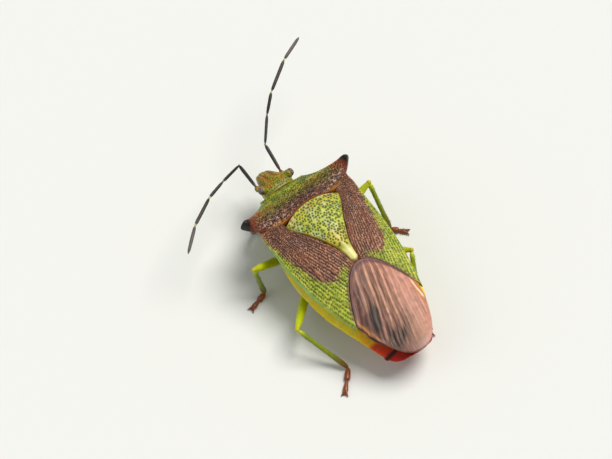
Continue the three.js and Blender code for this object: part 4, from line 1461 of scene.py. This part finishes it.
# %% Build the feelers
FEELER_VOXEL = 0.018
FEELER_BLACK, FEELER_GREY, FEELER_DUST = pigments("1f1815", "4a3f38", "7a716a")
ROOT_BROWN, BRISTLE_DARK = pigments("5c3a1c", "2a2018")
feeler_horn = shell_finish("feeler_horn", 0.48, 0.15, grain=0.5, mottle=0.2)
for hand in SIDES:
    joints = feeler_joints(hand)
    skin, skin_faces = fused_skin(feeler_parts(joints), FEELER_VOXEL, smooth=2)
    where = place_on(skin, joints)
    feeler_shade = coat_of(
        FEELER_BLACK,
        (FEELER_GREY, 0.5 * ease(where, 3.0, 3.4)),
        (FEELER_DUST, 0.35 * ease(where, 3.95, 4.3)),
        (ROOT_BROWN, 0.6 * fade_out(where, 0.0, 0.3)),
        (STRAW, sum(amount * bump(where, at, half) for amount, at, half in RINGS)),
    )
    skin, skin_faces, feeler_shade = with_bristles(
        skin, skin_faces, feeler_shade, joints,
        first=1.0, last=4.97, count=500, length=0.055, colour=BRISTLE_DARK,
    )
    solids = [f"feeler_{hand}_{i + 1}" for i in range(len(CLUBS))]
    make_piece(
        f"feeler_{hand}", skin, skin_faces, feeler_horn, solids, feeler_shade
    )

# %% [markdown]
# ## The beak
# A shield bug sucks sap through a jointed beak, folded back flat between its legs. It
# could be left out, as it can't be seen from above, but the model is looked at from
# below too. Four tapered lengths run from the head's tip to between the middle hips.

# %% Build the beak
BEAK_Y = [-4.7, -3.9, -3.2, -1.2, 1.2]
BEAK_CLUBS = [
    {0: 0.12, 0.6: 0.2, 1: 0.16}, {0: 0.14, 0.6: 0.18, 1: 0.13},
    {0: 0.12, 0.6: 0.15, 1: 0.11}, {0: 0.1, 0.7: 0.11, 1: 0.05},
]
BEAK_BROWN = pigment("a8842c")


def beak_joint(y):
    roof = along(HEAD_UNDER, y) if y < BODY_FRONT else along(BELLY_Z, y)
    return np.array([0, y, roof - 0.25])


joints = [beak_joint(y) for y in BEAK_Y]
parts = []
for start, end, club in zip(joints[:-1], joints[1:], BEAK_CLUBS):
    lap = (end - start) * 0.02
    parts.append(rod(start - lap, end + lap, club, steps=30))
parts.append(rod([0, -4.72, -2.55], [0, -4.6, -3.0], {0: 0.2, 1: 0.14}))
skin, skin_faces = fused_skin(parts, 0.025, smooth=3)
where = place_on(skin, joints)
beak_rings = 0.6 * sum(bump(where, joint, 0.04) for joint in (1, 2, 3))
beak_shade = coat_of(BEAK_BROWN, (RUST, beak_rings), (PITCH, ease(where, 3.5, 4.0)))
make_piece("beak_lengths", skin, skin_faces, leg_shell, ["beak"], beak_shade)

# %% [markdown]
# ## The light
# A museum model is judged under soft, even light. Lamps in softboxes would have to be
# placed for each view, so two wide suns are used, a warm one from above its right side
# and a weak, cool one from its left, and a pale sky fills the rest.

# %% Two wide suns and a pale sky
def soft_lamp(name, direction, strength, angle, colour):
    data = bpy.data.lights.new(name, "SUN")
    data.energy = strength
    data.angle = math.radians(angle)
    data.color = colour
    lamp = bpy.data.objects.new(name, data)
    lamp.rotation_euler = Vector(direction).to_track_quat("Z", "Y").to_euler()
    bpy.context.scene.collection.objects.link(lamp)
    print(name, "lamp,", angle, "degrees wide")


soft_lamp("key", (-0.5, 0.0, 1.0), 3.1, 35, (1.0, 0.97, 0.92))
soft_lamp("fill", (0.9, -0.3, 0.7), 0.5, 50, (0.95, 0.97, 1.0))
world = bpy.data.worlds.new("studio")
world.use_nodes = True
sky = {"Color": (0.86, 0.9, 0.95, 1), "Strength": 0.34}
fill_sockets(world.node_tree, world.node_tree.nodes["Background"], sky)
bpy.context.scene.world = world

# %% [markdown]
# ## The floor
# A model that stands on nothing looks as if it floats, and a patterned floor would draw
# the eye away. The floor is plain.

# %% Floor
bpy.ops.mesh.primitive_plane_add(size=4)
floor = bpy.context.object
floor.name = "floor"
paint = bpy.data.materials.new("floor_paint")
paint.use_nodes = True
plain = {"Base Color": (0.72, 0.73, 0.7, 1), "Roughness": 0.8}
fill_sockets(paint.node_tree, paint.node_tree.nodes["Principled BSDF"], plain)
floor.data.materials.append(paint)
print("floor is", floor.dimensions.x, "m wide")
